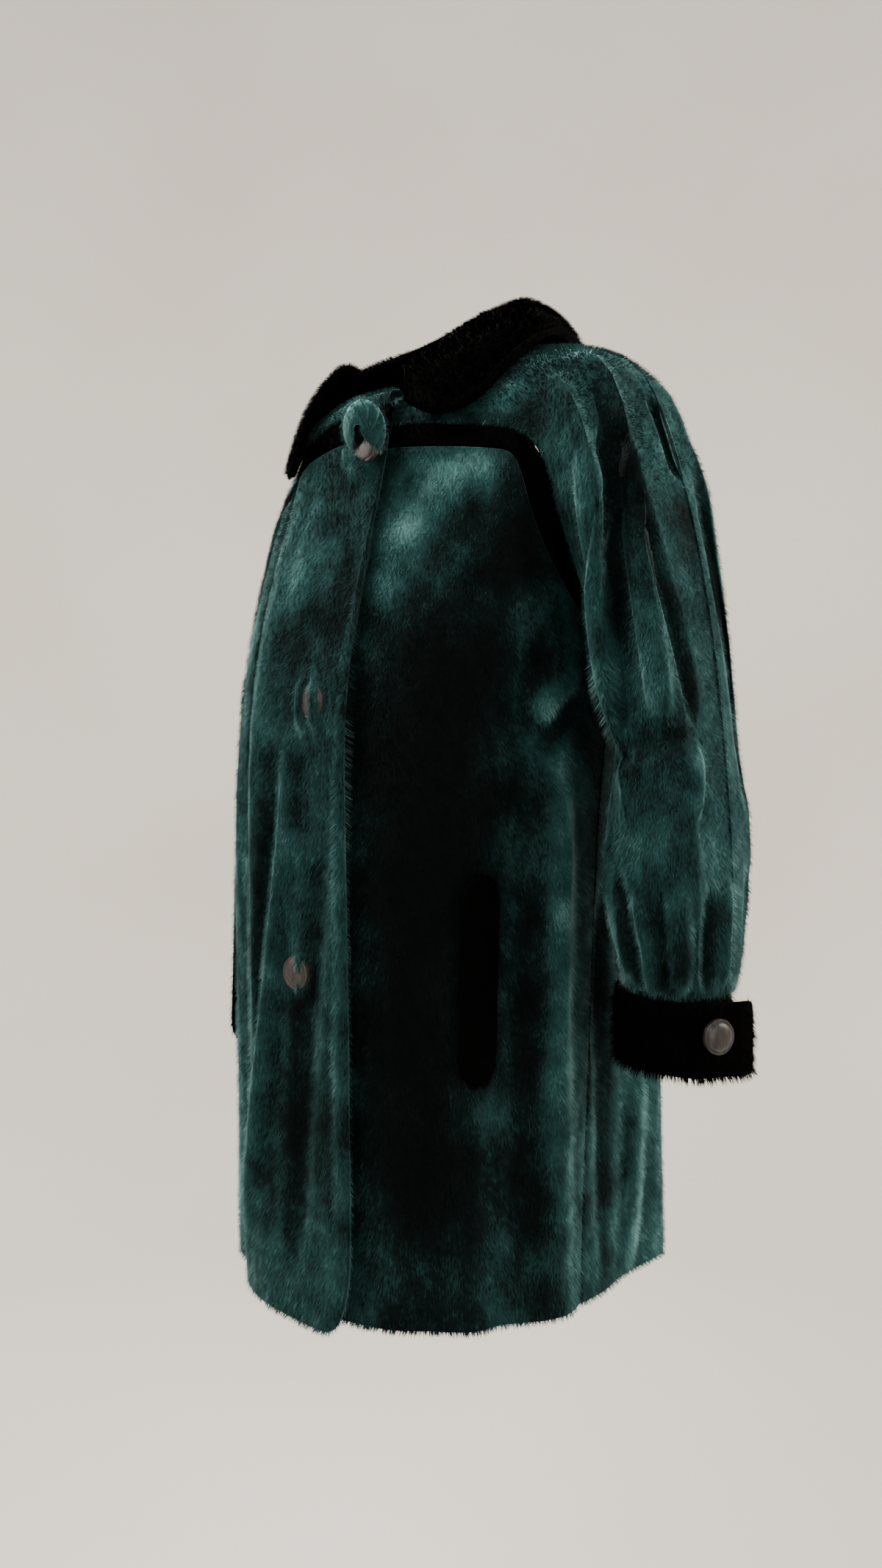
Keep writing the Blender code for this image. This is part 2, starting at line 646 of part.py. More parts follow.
def side_angle(height, underarm_height):
    """The angle of the side seam at a height."""
    share = (height - HEM_HEIGHT) / (underarm_height - HEM_HEIGHT)
    return SIDE_ANGLE_HEM + (SIDE_ANGLE_TOP - SIDE_ANGLE_HEM) * min(share, 1.0)


def ring_angle(point):
    """The ring angle at which a point lies."""
    ring = ring_at(point[2])
    depth = ring.front if point[1] < ring.centre_y else ring.back
    power = ARC_POWER / 2.0
    sine = signed_power(point[0] / ring.half_width, power)
    cosine = signed_power((ring.centre_y - point[1]) / depth, power)
    return math.atan2(sine, cosine)


def side_body_point(angle, height, side):
    """A body point of one side, told as if it lay on the wearer's left."""
    return body_point(side * angle, height) * np.array((side, 1.0, 1.0))


def panel_grid(top_line, edge_angle, side, hem_lift):
    """A body panel from a free edge, or the middle of the back, to the side
    seam: rows from the hem to the top seam, a column for each seam point."""
    last = len(top_line) - 1
    grid = np.zeros((BODY_ROWS + 1, last + 1, 3))
    run = np.cumsum(np.linalg.norm(np.diff(top_line, axis=0), axis=1))
    run = np.concatenate(((0.0,), run)) / run[-1]
    underarm_height = top_line[-1][2]
    for k, top in enumerate(top_line):
        edge = edge_angle(top[2])
        side_top = side_angle(top[2], underarm_height)
        top_angle = side_top if k == last else ring_angle(top)
        top_share = (top_angle - edge) / (side_top - edge)
        stand_off = top - side_body_point(top_angle, top[2], side)
        hem_share = (k / last + run[k]) / 2.0
        hem = HEM_HEIGHT + hem_lift(k / last)
        for r in range(BODY_ROWS + 1):
            share = r / BODY_ROWS
            height = hem + (top[2] - hem) * share
            across = hem_share + (top_share - hem_share) * smooth_step(share)
            start = edge_angle(height)
            angle = start + (side_angle(height, underarm_height) - start) * across
            near_top = smooth_step(1.0 - (top[2] - height) / BLEND_SPAN)
            grid[r, k] = side_body_point(angle, height, side) + stand_off * near_top
    return grid


def level_hem(share):
    """A hem at one height."""
    return 0.0


def right_hem(share):
    """The right front's hem: lower towards its free edge, with a round corner."""
    along = share * RIGHT_HEM_RUN
    drop = CORNER_DROP * smooth_step(1.0 - along / CORNER_DROP_RUN)
    rest = max(CORNER_RADIUS - along, 0.0) * CORNER_SHARE
    return CORNER_RADIUS - math.sqrt(CORNER_RADIUS**2 - rest**2) - drop


def lift_closure(grid):
    """Carry a piece of the right front over the left front."""
    for row in grid:
        for point in row:
            lift = closure_lift(point[0])
            rise = smooth_step((point[2] - CLOSURE_RISE_FROM) / CLOSURE_RISE_RUN)
            point[1] -= lift
            point[2] += lift * CLOSURE_RISE * rise


class Half:
    """All that is cut for one side of the coat, in its place."""

    def __init__(self, side):
        flip = np.array((side, 1.0, 1.0))
        edge_x = UNDERLAP_X if side > 0 else -OVERLAP_X
        swing = ARM_SWING[side]
        sections = FRONT_SECTIONS if side > 0 else less_full(FRONT_SECTIONS)
        self.front_sleeve = HalfSleeve(sections, FRONT_PLEATS, edge_x, -1, swing)
        self.back_sleeve = HalfSleeve(BACK_SECTIONS, BACK_PLEATS, 0.0, 1, swing)
        strip = strip_grid(self.front_sleeve)
        hem = level_hem if side > 0 else right_hem
        front = panel_grid(strip[0], lambda z: angle_of_x(edge_x, z), side, hem)
        back = panel_grid(self.back_sleeve.seam, lambda z: math.pi, side, level_hem)
        grids = [self.front_sleeve.grid, strip, front]
        grids = [grid * flip for grid in grids]
        if side < 0:
            for grid in grids:
                lift_closure(grid)
        self.yoke_front = Sheet(grids[0], -side)
        self.strip = Sheet(grids[1], -side)
        self.front = Sheet(grids[2], -side)
        self.yoke_back = Sheet(self.back_sleeve.grid * flip, side)
        self.back_grid = back * flip

    def upper_sheets(self):
        """The sheets that the collar can lie on."""
        return (self.yoke_front, self.strip, self.front, self.yoke_back)


def sew(left, right):
    """Join the two sides' back panels and share directions along every seam."""
    back_grid = np.concatenate((right.back_grid[:, :0:-1], left.back_grid), axis=1)
    back = Sheet(back_grid, 1)
    middle = right.back_grid.shape[1] - 1
    for half, step in ((left, 1), (right, -1)):
        front_sleeve = half.front_sleeve
        back_sleeve = half.back_sleeve
        arm = front_sleeve.underarm
        arm_back = back_sleeve.underarm
        half_back = back.normals[:, middle:] if step > 0 else back.normals[:, middle::-1]
        front_normals = half.yoke_front.normals
        back_normals = half.yoke_back.normals
        share_normals(
            front_normals[front_sleeve.neck_point :, 0],
            back_normals[back_sleeve.neck_point :, 0],
        )
        share_normals(front_normals[arm:, -1], back_normals[arm_back:, -1])
        share_normals(front_normals[:arm, -1], half.strip.normals[-1, :arm])
        share_normals(half.strip.normals[0, :arm], half.front.normals[-1, :arm])
        share_normals(half.front.normals[:-1, -1], half_back[:-1, -1])
        share_normals(back_normals[:arm_back, -1], half_back[-1, :arm_back])
        down = np.array((0.0, 0.0, -UNDERARM_PULL))
        share_normals(
            down,
            front_normals[arm, -1],
            back_normals[arm_back, -1],
            half.strip.normals[0, arm],
            half.strip.normals[1, arm],
            half.strip.normals[2, arm],
            half.front.normals[-1, -1],
            half_back[-1, -1],
        )
    share_normals(left.yoke_back.normals[0, :-1], right.yoke_back.normals[0, :-1])
    share_normals(
        left.yoke_back.normals[0, -1], right.yoke_back.normals[0, -1], back.normals[-1, middle]
    )
    return back, middle


def collar_section(row):
    """One section of the collar: foot, stand, roll and fall."""
    roll = np.array((row.roll_x, row.roll_y, row.roll_z))
    edge = np.array((row.edge_x, row.edge_y, row.edge_z))
    up = np.array((0.0, 0.0, 1.0))
    outward = unit((edge - roll) * np.array((1.0, 1.0, 0.0)))
    centre = roll - up * COLLAR_ROLL_RADIUS
    stand = centre - outward * COLLAR_ROLL_RADIUS
    points = [stand - up * row.foot_drop, stand - up * row.foot_drop / 2.0]
    for turn in COLLAR_ROLL_TURNS:
        angle = math.radians(turn)
        arm = outward * math.cos(angle) + up * math.sin(angle)
        points.append(centre + arm * COLLAR_ROLL_RADIUS)
    start = points[-1]
    fall = edge - start
    length = np.linalg.norm(fall)
    crown = unit(up * np.dot(fall, outward) - outward * fall[2])
    for k in range(1, COLLAR_FALL_STEPS + 1):
        share = k / COLLAR_FALL_STEPS
        swell = COLLAR_CROWN * length * math.sin(math.pi * share)
        points.append(start + fall * share + crown * swell)
    return points


def lay_on(points, sheets, clearance):
    """Move points out to where they lie on the sheets they would cut into."""
    corners = []
    faces = []
    for sheet in sheets:
        rows, columns = sheet.outer.shape[:2]
        start = len(corners)
        corners.extend(sheet.outer.reshape(-1, 3).tolist())
        for i in range(rows - 1):
            for j in range(columns - 1):
                first = start + i * columns + j
                faces.append((first, first + 1, first + columns + 1, first + columns))
    tree = BVHTree.FromPolygons(corners, faces)
    core = Vector(BODY_CORE)
    for row in points:
        for point in row:
            place, facing, _, _ = tree.find_nearest(Vector(point))
            if facing.dot(place - core) < 0.0:
                facing = -facing
            offset = Vector(point) - place
            height = facing.dot(offset)
            beside = (offset - facing * height).length
            if height < clearance and beside < BESIDE_LIMIT:
                point[:] = place + facing * clearance


def wing_grid(rows):
    """The collar's sections from the middle of the back to one front end."""
    count = (len(rows) - 1) * COLLAR_STEPS
    positions = [k / COLLAR_STEPS for k in range(count + 1)]
    return np.array([collar_section(CollarRow(*spline_rows(rows, k))) for k in positions])


def build_collar(sheets, collection):
    """The collar, one thick wall that rolls over and lies on the yoke."""
    left = wing_grid(LEFT_WING)
    right = wing_grid(RIGHT_WING) * np.array((-1.0, 1.0, 1.0))
    lift_closure(right)
    grid = np.concatenate((right[:0:-1], left))
    fall = grid[:, -COLLAR_FALL_STEPS:]
    lay_on(fall, sheets, COLLAR_THICKNESS / 2.0 + COLLAR_CLEARANCE)
    normals = smoothed(grid_normals(grid), COLLAR_SMOOTHINGS)
    offset = normals * COLLAR_THICKNESS / 2.0
    build_wall("collar", grid + offset, grid - offset, BLACK_FUR, collection)


def cuff_point(angle, lift, share, side):
    """A point of a cuff: its share of the height runs from the hem up."""
    x = (CUFF_RADIUS_X + lift) * math.cos(angle)
    y = (CUFF_RADIUS_Y + lift) * math.sin(angle)
    z = -CUFF_HEIGHT * (1.0 - share) - CUFF_TILT * x
    back = ARM_SWING[side] * CUFF_SWING_RUN
    point = np.array(CUFF_CENTRE) + np.array((x, y + back, z))
    return point * np.array((side, 1.0, 1.0))


def build_cuff(side, name, collection):
    """A band round the wrist that overlaps itself and ends in a flared tab."""
    outer = np.zeros((CUFF_ROWS + 1, CUFF_STEPS + 1, 3))
    inner = np.zeros_like(outer)
    for k in range(CUFF_STEPS + 1):
        angle = CUFF_START + CUFF_SWEEP * k / CUFF_STEPS
        left = CUFF_SWEEP * (1.0 - k / CUFF_STEPS)
        lap = smooth_step((CUFF_LAP_ANGLE + CUFF_LAP_RISE - left) / CUFF_LAP_RISE)
        flare = smooth_step(1.0 - left / CUFF_FLARE_ANGLE)
        lift = CUFF_TAB_LIFT * lap + CUFF_TAB_FLARE * flare
        for r in range(CUFF_ROWS + 1):
            outer[r, k] = cuff_point(angle, lift, r / CUFF_ROWS, side)
            inner[r, k] = cuff_point(angle, lift - WALL, r / CUFF_ROWS, side)
    build_wall(name, outer, inner, BLACK_FUR, collection)


def grid_point(grid, row, column):
    """A point between the points of a grid."""
    i = min(int(row), grid.shape[0] - 2)
    j = min(int(column), grid.shape[1] - 2)
    low = grid[i, j] + (grid[i, j + 1] - grid[i, j]) * (column - j)
    high = grid[i + 1, j] + (grid[i + 1, j + 1] - grid[i + 1, j]) * (column - j)
    return low + (high - low) * (row - i)


def nearest_on_grid(grid, wanted):
    """The point of a grid's surface nearest to a point, and the way it faces."""
    distances = np.linalg.norm(grid - wanted, axis=2)
    row, column = np.unravel_index(np.argmin(distances), distances.shape)
    step = SLOPE_STEP
    for _ in range(NEAREST_ROUNDS):
        here = grid_point(grid, row, column)
        down = (grid_point(grid, row + step, column) - here) / step
        over = (grid_point(grid, row, column + step) - here) / step
        system = np.stack((down, over), axis=1)
        change = np.linalg.lstsq(system, wanted - here, rcond=None)[0]
        row = float(np.clip(row + change[0], 0.0, grid.shape[0] - 1.0 - 2.0 * step))
        column = float(np.clip(column + change[1], 0.0, grid.shape[1] - 1.0 - 2.0 * step))
    facing = unit(np.cross(down, over))
    return grid_point(grid, row, column), facing * -np.sign(facing[1])


def build_welt(sheet, side, name, collection):
    """A pocket welt with round ends, made from its panel's points, moved out."""
    outer = np.zeros((WELT_ROWS + 1, WELT_COLUMNS + 1, 3))
    inner = np.zeros_like(outer)
    turn = WELT_ANGLE[side]
    outward = np.array((side * math.sin(turn), -math.cos(turn), 0.0))
    sideways = np.array((side * math.cos(turn), math.sin(turn), 0.0))
    half_length = (WELT_TOP - WELT_BOTTOM) / 2.0
    half_width = WELT_WIDTH / 2.0
    for r in range(WELT_ROWS + 1):
        along = -math.cos(math.pi * r / WELT_ROWS) * half_length
        into_end = max(abs(along) - half_length + half_width, 0.0) / half_width
        width = half_width * math.sqrt(1.0 - into_end**2 * (1.0 - WELT_END_SHARE**2))
        height = (WELT_TOP + WELT_BOTTOM) / 2.0 + along
        middle = body_point(side * turn, height) - sideways * math.tan(WELT_LEAN) * along
        for j in range(WELT_COLUMNS + 1):
            wanted = middle + sideways * width * (2.0 * j / WELT_COLUMNS - 1.0)
            base = nearest_on_grid(sheet.outer, wanted)[0]
            inner[r, j] = base + outward * LAYER_GAP
            outer[r, j] = base + outward * (LAYER_GAP + WELT_THICKNESS)
    build_wall(name, outer, inner, BLACK_FUR, collection)


def build_button(name, place, facing, collection):
    """A domed disc with a raised rim: a profile turned by a Screw modifier."""
    mesh = bpy.data.meshes.new(name)
    points = [(r * BUTTON_RADIUS, 0.0, z * BUTTON_HEIGHT) for r, z in BUTTON_PROFILE]
    edges = [(k, k + 1) for k in range(len(points) - 1)]
    mesh.from_pydata(points, edges, [])
    item = add_object(name, mesh, DARK_HORN, collection)
    turned = item.modifiers.new("turned", "SCREW")
    turned.steps = BUTTON_STEPS
    turned.render_steps = BUTTON_STEPS
    turned.use_merge_vertices = True
    turned.merge_threshold = 0.0001
    turned.use_normal_calculate = True
    turn = Vector((0.0, 0.0, 1.0)).rotation_difference(Vector(facing))
    item.matrix_world = Matrix.Translation(Vector(place)) @ turn.to_matrix().to_4x4()


def build_front_buttons(panel, collection):
    """The buttons that come through the right front."""
    for place in FRONT_BUTTONS:
        angle = angle_of_x(place.x, place.height)
        wanted = body_point(angle, place.height)
        wanted[1] -= closure_lift(place.x)
        point, facing = nearest_on_grid(panel, wanted)
        build_button(place.name, point + facing * BUTTON_STAND_OFF, facing, collection)


def build_cuff_button(side, name, collection):
    """The button on a cuff's tab."""
    angle = CUFF_START + CUFF_SWEEP - CUFF_BUTTON_ANGLE
    lift = CUFF_TAB_LIFT + BUTTON_STAND_OFF
    facing = np.array((side * math.cos(angle), math.sin(angle), 0.0))
    place = settle(cuff_point(angle, lift, CUFF_BUTTON_SHARE, side))
    build_button(name, place, facing, collection)


def build_front_roll(collection):
    """The right front's top corner, rolled over the top button."""
    axis = unit(np.array(ROLL_AXIS))
    rise = np.array((0.0, 0.0, 1.0))
    rise = unit(rise - axis * np.dot(rise, axis))
    aside = np.cross(rise, axis)
    outer = np.zeros((ROLL_ROWS + 1, ROLL_STEPS + 1, 3))
    inner = np.zeros_like(outer)
    for i in range(ROLL_ROWS + 1):
        share = 2.0 * i / ROLL_ROWS - 1.0
        radius = ROLL_RADIUS * math.sqrt(1.0 - ROLL_END_FALL * share**2)
        centre = np.array(ROLL_CENTRE) + axis * share * ROLL_LENGTH / 2.0
        for k in range(ROLL_STEPS + 1):
            angle = ROLL_START + ROLL_SWEEP * k / ROLL_STEPS
            arm = rise * math.cos(angle) * ROLL_TALLNESS + aside * math.sin(angle)
            outer[i, k] = centre + arm * radius
            inner[i, k] = centre + arm * (radius - ROLL_WALL)
    build_wall("front_roll", outer, inner, GREEN_FUR, collection)


def build_coat():
    """Cut and sew the panels, then build every piece in one collection."""
    clear_scene()
    collection = bpy.data.collections.new("fur_coat")
    bpy.context.scene.collection.children.link(collection)
    left = Half(1)
    right = Half(-1)
    back, middle = sew(left, right)
    sew_wall("back", back, GREEN_FUR, collection, middle)
    for half, side, name in ((left, 1, "left"), (right, -1, "right")):
        sew_wall("front_" + name, half.front, GREEN_FUR, collection)
        sew_wall("sleeve_front_" + name, half.yoke_front, GREEN_FUR, collection)
        sew_wall("sleeve_back_" + name, half.yoke_back, GREEN_FUR, collection)
        sew_wall("yoke_strip_" + name, half.strip, BLACK_FUR, collection)
        build_welt(half.front, side, "pocket_welt_" + name, collection)
        build_cuff(side, "cuff_" + name, collection)
        build_cuff_button(side, "button_cuff_" + name, collection)
    under_collar = [part for half in (left, right) for part in half.upper_sheets()]
    build_collar(under_collar, collection)
    build_front_roll(collection)
    build_front_buttons(right.front.outer, collection)


build_coat()
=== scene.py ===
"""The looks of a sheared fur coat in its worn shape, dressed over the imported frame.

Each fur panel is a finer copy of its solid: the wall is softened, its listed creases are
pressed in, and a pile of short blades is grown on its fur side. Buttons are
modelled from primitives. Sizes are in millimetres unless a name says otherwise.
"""
import logging
import math
from dataclasses import dataclass, field
from enum import Enum
from functools import lru_cache
from typing import Any, Callable, Sequence

import bmesh
import bpy
import numpy as np
from mathutils import Matrix, Vector
from mathutils.bvhtree import BVHTree


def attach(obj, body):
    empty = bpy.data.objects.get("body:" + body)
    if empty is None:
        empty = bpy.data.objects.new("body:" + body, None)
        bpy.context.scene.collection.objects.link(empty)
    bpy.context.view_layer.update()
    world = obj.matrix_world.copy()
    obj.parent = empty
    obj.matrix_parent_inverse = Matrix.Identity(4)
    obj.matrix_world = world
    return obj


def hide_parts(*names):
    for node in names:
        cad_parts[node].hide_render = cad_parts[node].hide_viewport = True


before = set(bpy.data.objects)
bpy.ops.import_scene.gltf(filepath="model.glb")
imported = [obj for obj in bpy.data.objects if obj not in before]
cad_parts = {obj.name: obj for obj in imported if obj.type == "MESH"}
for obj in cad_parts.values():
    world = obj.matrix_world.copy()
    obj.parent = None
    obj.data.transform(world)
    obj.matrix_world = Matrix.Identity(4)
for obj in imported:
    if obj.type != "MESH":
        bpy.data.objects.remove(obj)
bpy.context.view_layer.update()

LOG = logging.getLogger("fur_coat")
MM = 0.001
BODY = "root"
FUR_SIDE = 0.55  # from this value of the side attribute on, a point is on the fur side
SHARP = math.radians(50.0)  # a wall's rims turn by more, and its folds by less
CREASE_PAINTED_LIGHT = 0.020  # painted light and shade: the pile is painted paler by this much for each millimetre of a ridge, and darker in a trough
DEEPEST_PAINTED_SHADE = 11.0  # deeper creases get no more painted shade

# The photograph's frame in pixels, and its camera in metres from the coat's origin
PHOTO_CENTRE_X = 600.0
PHOTO_CENTRE_Y = 1066.5
PHOTO_HEIGHT = 2133.0
PHOTO_FOCAL = 1718.0
CAMERA_AZIMUTH = 40.0
CAMERA_DISTANCE = 1.15
CAMERA_HEIGHT = -0.361
CAMERA_ASIDE = -0.0115
SENSOR_MM = 36.0
FLOOR_HEIGHT = -1.47

# The wearer's arm and trunk, from which every panel faces away
TRUNK = ((0.0, 0.0, -0.80), (0.0, 0.0, -0.06))
ARM = ((0.06, 0.0, -0.10), (0.15, 0.0, -0.10), (0.235, -0.015, -0.33), (0.236, -0.018, -0.54))
RIGHT_ARM_BACK = 0.046


def linear(code: str) -> tuple[float, float, float, float]:
    """Turn an sRGB hex colour to linear light.

    Args:
        code: The colour, such as "#1E4A47".

    Returns:
        Red, green and blue, and an alpha of 1.
    """
    values = []
    for start in (1, 3, 5):
        share = int(code[start:start + 2], 16) / 255.0
        values.append(share / 12.92 if share <= 0.04045 else ((share + 0.055) / 1.055) ** 2.4)
    return (*values, 1.0)


def add_node(tree: Any, kind: str, inputs: dict[Any, Any], **settings: Any) -> Any:
    """Add a shader node with its settings and links.

    Args:
        tree: The node tree.
        kind: The node's type.
        inputs: A value or a socket to link for each input, by name or number.
        **settings: Values of the node's own properties.

    Returns:
        The new node.
    """
    node = tree.nodes.new(kind)
    for name, value in settings.items():
        setattr(node, name, value)
    for name, value in inputs.items():
        if isinstance(value, bpy.types.NodeSocket):
            tree.links.new(value, node.inputs[name])
        else:
            node.inputs[name].default_value = value
    return node


def start_material(name: str) -> tuple[Any, Any, Any]:
    """Make a material that holds a shader and an output only.

    Args:
        name: The material's name.

    Returns:
        The material, its node tree and its shader.
    """
    material = bpy.data.materials.new(name)
    material.use_nodes = True
    tree = material.node_tree
    tree.nodes.clear()
    shader = tree.nodes.new("ShaderNodeBsdfPrincipled")
    output = tree.nodes.new("ShaderNodeOutputMaterial")
    tree.links.new(shader.outputs["BSDF"], output.inputs["Surface"])
    return material, tree, shader


def add_ramp(tree: Any, factor: Any, stops: Sequence[tuple[float, str]]) -> Any:
    """Add a colour ramp.

    Args:
        tree: The node tree.
        factor: The socket that drives it.
        stops: Places from 0 to 1 with their hex colours.

    Returns:
        The ramp's colour socket.
    """
    ramp = add_node(tree, "ShaderNodeValToRGB", {"Fac": factor})
    elements = ramp.color_ramp.elements
    while len(elements) > 1:
        elements.remove(elements[-1])
    elements[0].position = stops[0][0]
    elements[0].color = linear(stops[0][1])
    for place, code in stops[1:]:
        elements.new(place).color = linear(code)
    return ramp.outputs["Color"]


def object_noise(tree: Any, size_mm: float, detail: float, stretch: float = 1.0) -> Any:
    """Add a noise pattern of a real size, drawn out along the height.

    Args:
        tree: The node tree.
        size_mm: The size of its larger spots.
        detail: How many finer layers it has.
        stretch: How much longer than wide its spots are.

    Returns:
        The pattern's value socket.
    """
    place = add_node(tree, "ShaderNodeTexCoord", {}).outputs["Object"]
    scaled = add_node(tree, "ShaderNodeMapping", {"Vector": place, "Scale": (1.0, 1.0, 1.0 / stretch)})
    pattern = add_node(tree, "ShaderNodeTexNoise", {
        "Vector": scaled.outputs["Vector"], "Scale": 1.0 / (size_mm * MM), "Detail": detail,
    })
    return pattern.outputs["Fac"]


@dataclass(frozen=True)
class ShearedFur:
    """Sheared fur: dyed, brushed and cut to one height, so the pile stands like velvet.

    Its base colour is painted dark where the eye looks down into the pile and pale where it
    looks across the hairs, a painted sheen. It has soft blotches of random tone, and
    patches of painted light and shade, partly where the pile was stroked another way.
    """

    name: str
    stops: tuple[tuple[float, str], ...]
    sheen: str
    sheen_weight: float
    specular: float
    # how much the painted sheen pales the base colour where the pile is seen across
    painted_sheen_gain: float
    blotch_mm: float = 60.0
    stroke_mm: float = 17.0
    hair_mm: float = 2.0  # several hairs wide, as one hair is too fine to show
    roughness: float = 0.72
    sheen_roughness: float = 0.38
    darkness: float = 0.575  # taken from the terms, so that plain pile is dark

    def make(self) -> Any:
        """Make the material, which reads the tone and tip of the pile and its lie, which holds painted light
        and shade, partly the nap.

        Returns:
            The material.
        """
        material, tree, shader = start_material(self.name)
        terms = (
            (object_noise(tree, self.blotch_mm, 2.0), 0.55),
            (object_noise(tree, self.stroke_mm, 2.0, 1.6), 0.36),
            (object_noise(tree, self.hair_mm, 2.0, 2.0), 0.24),
            # painted light and shade, partly the nap, written on the mesh
            (add_node(tree, "ShaderNodeAttribute", {}, attribute_name="nap_and_painted_light").outputs["Fac"], 1.0),
            (add_node(tree, "ShaderNodeAttribute", {}, attribute_name="tone").outputs["Fac"], 0.16),
            # roots painted darker than tips: painted shade down in the pile
            (add_node(tree, "ShaderNodeAttribute", {}, attribute_name="tip").outputs["Fac"], 0.14),
            # painted sheen: the base colour is painted paler where the pile is seen across
            (self.painted_sheen(tree), self.painted_sheen_gain),
        )
        total = add_node(tree, "ShaderNodeMath", {0: 0.0, 1: -self.darkness}, operation="ADD").outputs["Value"]
        for socket, weight in terms:
            total = add_node(
                tree, "ShaderNodeMath", {0: socket, 1: weight, 2: total}, operation="MULTIPLY_ADD"
            ).outputs["Value"]
        tree.links.new(add_ramp(tree, total, self.stops), shader.inputs["Base Color"])
        shader.inputs["Roughness"].default_value = self.roughness
        shader.inputs["Specular IOR Level"].default_value = self.specular
        shader.inputs["Sheen Weight"].default_value = self.sheen_weight
        shader.inputs["Sheen Roughness"].default_value = self.sheen_roughness
        shader.inputs["Sheen Tint"].default_value = linear(self.sheen)
        return material

    def painted_sheen(self, tree: Any) -> Any:
        """Add how far the pile is seen from its side, for a sheen painted into the base colour.

        Args:
            tree: The node tree.

        Returns:
            A socket from 0, seen from above, to 1, seen across.
        """
        weight = add_node(tree, "ShaderNodeLayerWeight", {"Blend": 0.5}).outputs["Facing"]
        return add_node(tree, "ShaderNodeMath", {0: weight, 1: 1.6}, operation="POWER").outputs["Value"]


@dataclass(frozen=True)
class SkinSide:
    """The dyed leather side of a pelt: suede, dull, with a fine nap."""

    name: str
    colour: str
    worn: str
    nap_mm: float = 1.6

    def make(self) -> Any:
        """Make the material.

        Returns:
            The material.
        """
        material, tree, shader = start_material(self.name)
        nap = object_noise(tree, self.nap_mm, 3.0)
        cloud = object_noise(tree, self.nap_mm * 14.0, 2.0)
        both = add_node(tree, "ShaderNodeMath", {0: nap, 1: cloud}, operation="MULTIPLY")
        stops = ((0.15, self.colour), (0.42, self.worn))
        tree.links.new(add_ramp(tree, both.outputs["Value"], stops), shader.inputs["Base Color"])
        relief = add_node(tree, "ShaderNodeBump", {"Height": nap, "Strength": 0.25, "Distance": 0.0004})
        tree.links.new(relief.outputs["Normal"], shader.inputs["Normal"])
        shader.inputs["Roughness"].default_value = 0.9
        shader.inputs["Sheen Weight"].default_value = 0.04
        shader.inputs["Specular IOR Level"].default_value = 0.1
        return material


@dataclass(frozen=True)
class PolishedHorn:
    """Buffalo horn: turned and polished, dark with drawn-out paler grain and a wet gloss."""

    name: str
    dark: str
    pale: str
    grain_mm: float = 3.5
    roughness: float = 0.20
    specular: float = 0.30

    def make(self) -> Any:
        """Make the material.

        Returns:
            The material.
        """
        material, tree, shader = start_material(self.name)
        grain = object_noise(tree, self.grain_mm, 4.0, 4.0)
        stops = ((0.35, self.dark), (0.72, self.pale))
        tree.links.new(add_ramp(tree, grain, stops), shader.inputs["Base Color"])
        wear = add_node(tree, "ShaderNodeMapRange", {
            "Value": object_noise(tree, self.grain_mm / 4.0, 3.0), "To Min": self.roughness,
            "To Max": self.roughness * 2.2,
        })
        tree.links.new(wear.outputs["Result"], shader.inputs["Roughness"])
        shader.inputs["IOR"].default_value = 1.54
        shader.inputs["Specular IOR Level"].default_value = self.specular
        shader.inputs["Coat Weight"].default_value = 0.06
        return material


@dataclass(frozen=True)
class WallPaint:
    """Matt emulsion paint on plaster: warm pale grey, all but even."""

    name: str
    colour: str
    shade: str

    def make(self) -> Any:
        """Make the material.

        Returns:
            The material.
        """
        material, tree, shader = start_material(self.name)
        cloud = object_noise(tree, 900.0, 2.0)
        stops = ((0.3, self.shade), (0.7, self.colour))
        tree.links.new(add_ramp(tree, cloud, stops), shader.inputs["Base Color"])
        shader.inputs["Roughness"].default_value = 0.95
        shader.inputs["Specular IOR Level"].default_value = 0.1
        return material


GREEN_FUR = ShearedFur(
    name="bottle_green_sheared_fur",
    stops=((0.0, "#010505"), (0.20, "#061414"), (0.48, "#214344"), (0.76, "#547E7F"), (1.0, "#8CB2B2")),
    sheen="#86A8A7", sheen_weight=0.22, specular=0.04, painted_sheen_gain=0.55,
)
BLACK_FUR = ShearedFur(
    name="black_sheared_fur",
    stops=((0.0, "#000000"), (0.5, "#020202"), (1.0, "#0A0B0C")),
    sheen="#2A2A2C", sheen_weight=0.03, specular=0.02, painted_sheen_gain=0.30,
)
SUEDE = SkinSide(name="dark_suede_skin_side", colour="#07100F", worn="#142423")
HORN = PolishedHorn(name="polished_dark_horn", dark="#0B0A0A", pale="#2E2A29")
GREY_HORN = PolishedHorn(name="polished_grey_horn", dark="#171314", pale="#37302F", roughness=0.40)
PAINT = WallPaint(name="pale_wall_paint", colour="#ECE9E4", shade="#E4E0DA")


class Side(Enum):
    """Where a path is looked at from: the photograph, or a quarter, square on."""

    PHOTO = -1.0
    LEFT = 90.0
    BACK = 180.0
    RIGHT = 270.0
    FRONT = 0.0


def axes(azimuth: float) -> tuple[Vector, Vector]:
    """The directions of a level view.

    Args:
        azimuth: Degrees round the coat, 0 in front of it and 90 on the wearer's left.

    Returns:
        The direction back to the eye, and the direction to the picture's right.
    """
    turn = math.radians(azimuth)
    return Vector((math.sin(turn), -math.cos(turn), 0.0)), Vector((math.cos(turn), math.sin(turn), 0.0))


def eye_place() -> Vector:
    """The place of the camera, in metres."""
    back, aside = axes(CAMERA_AZIMUTH)
    return back * CAMERA_DISTANCE + aside * CAMERA_ASIDE + Vector((0.0, 0.0, CAMERA_HEIGHT))


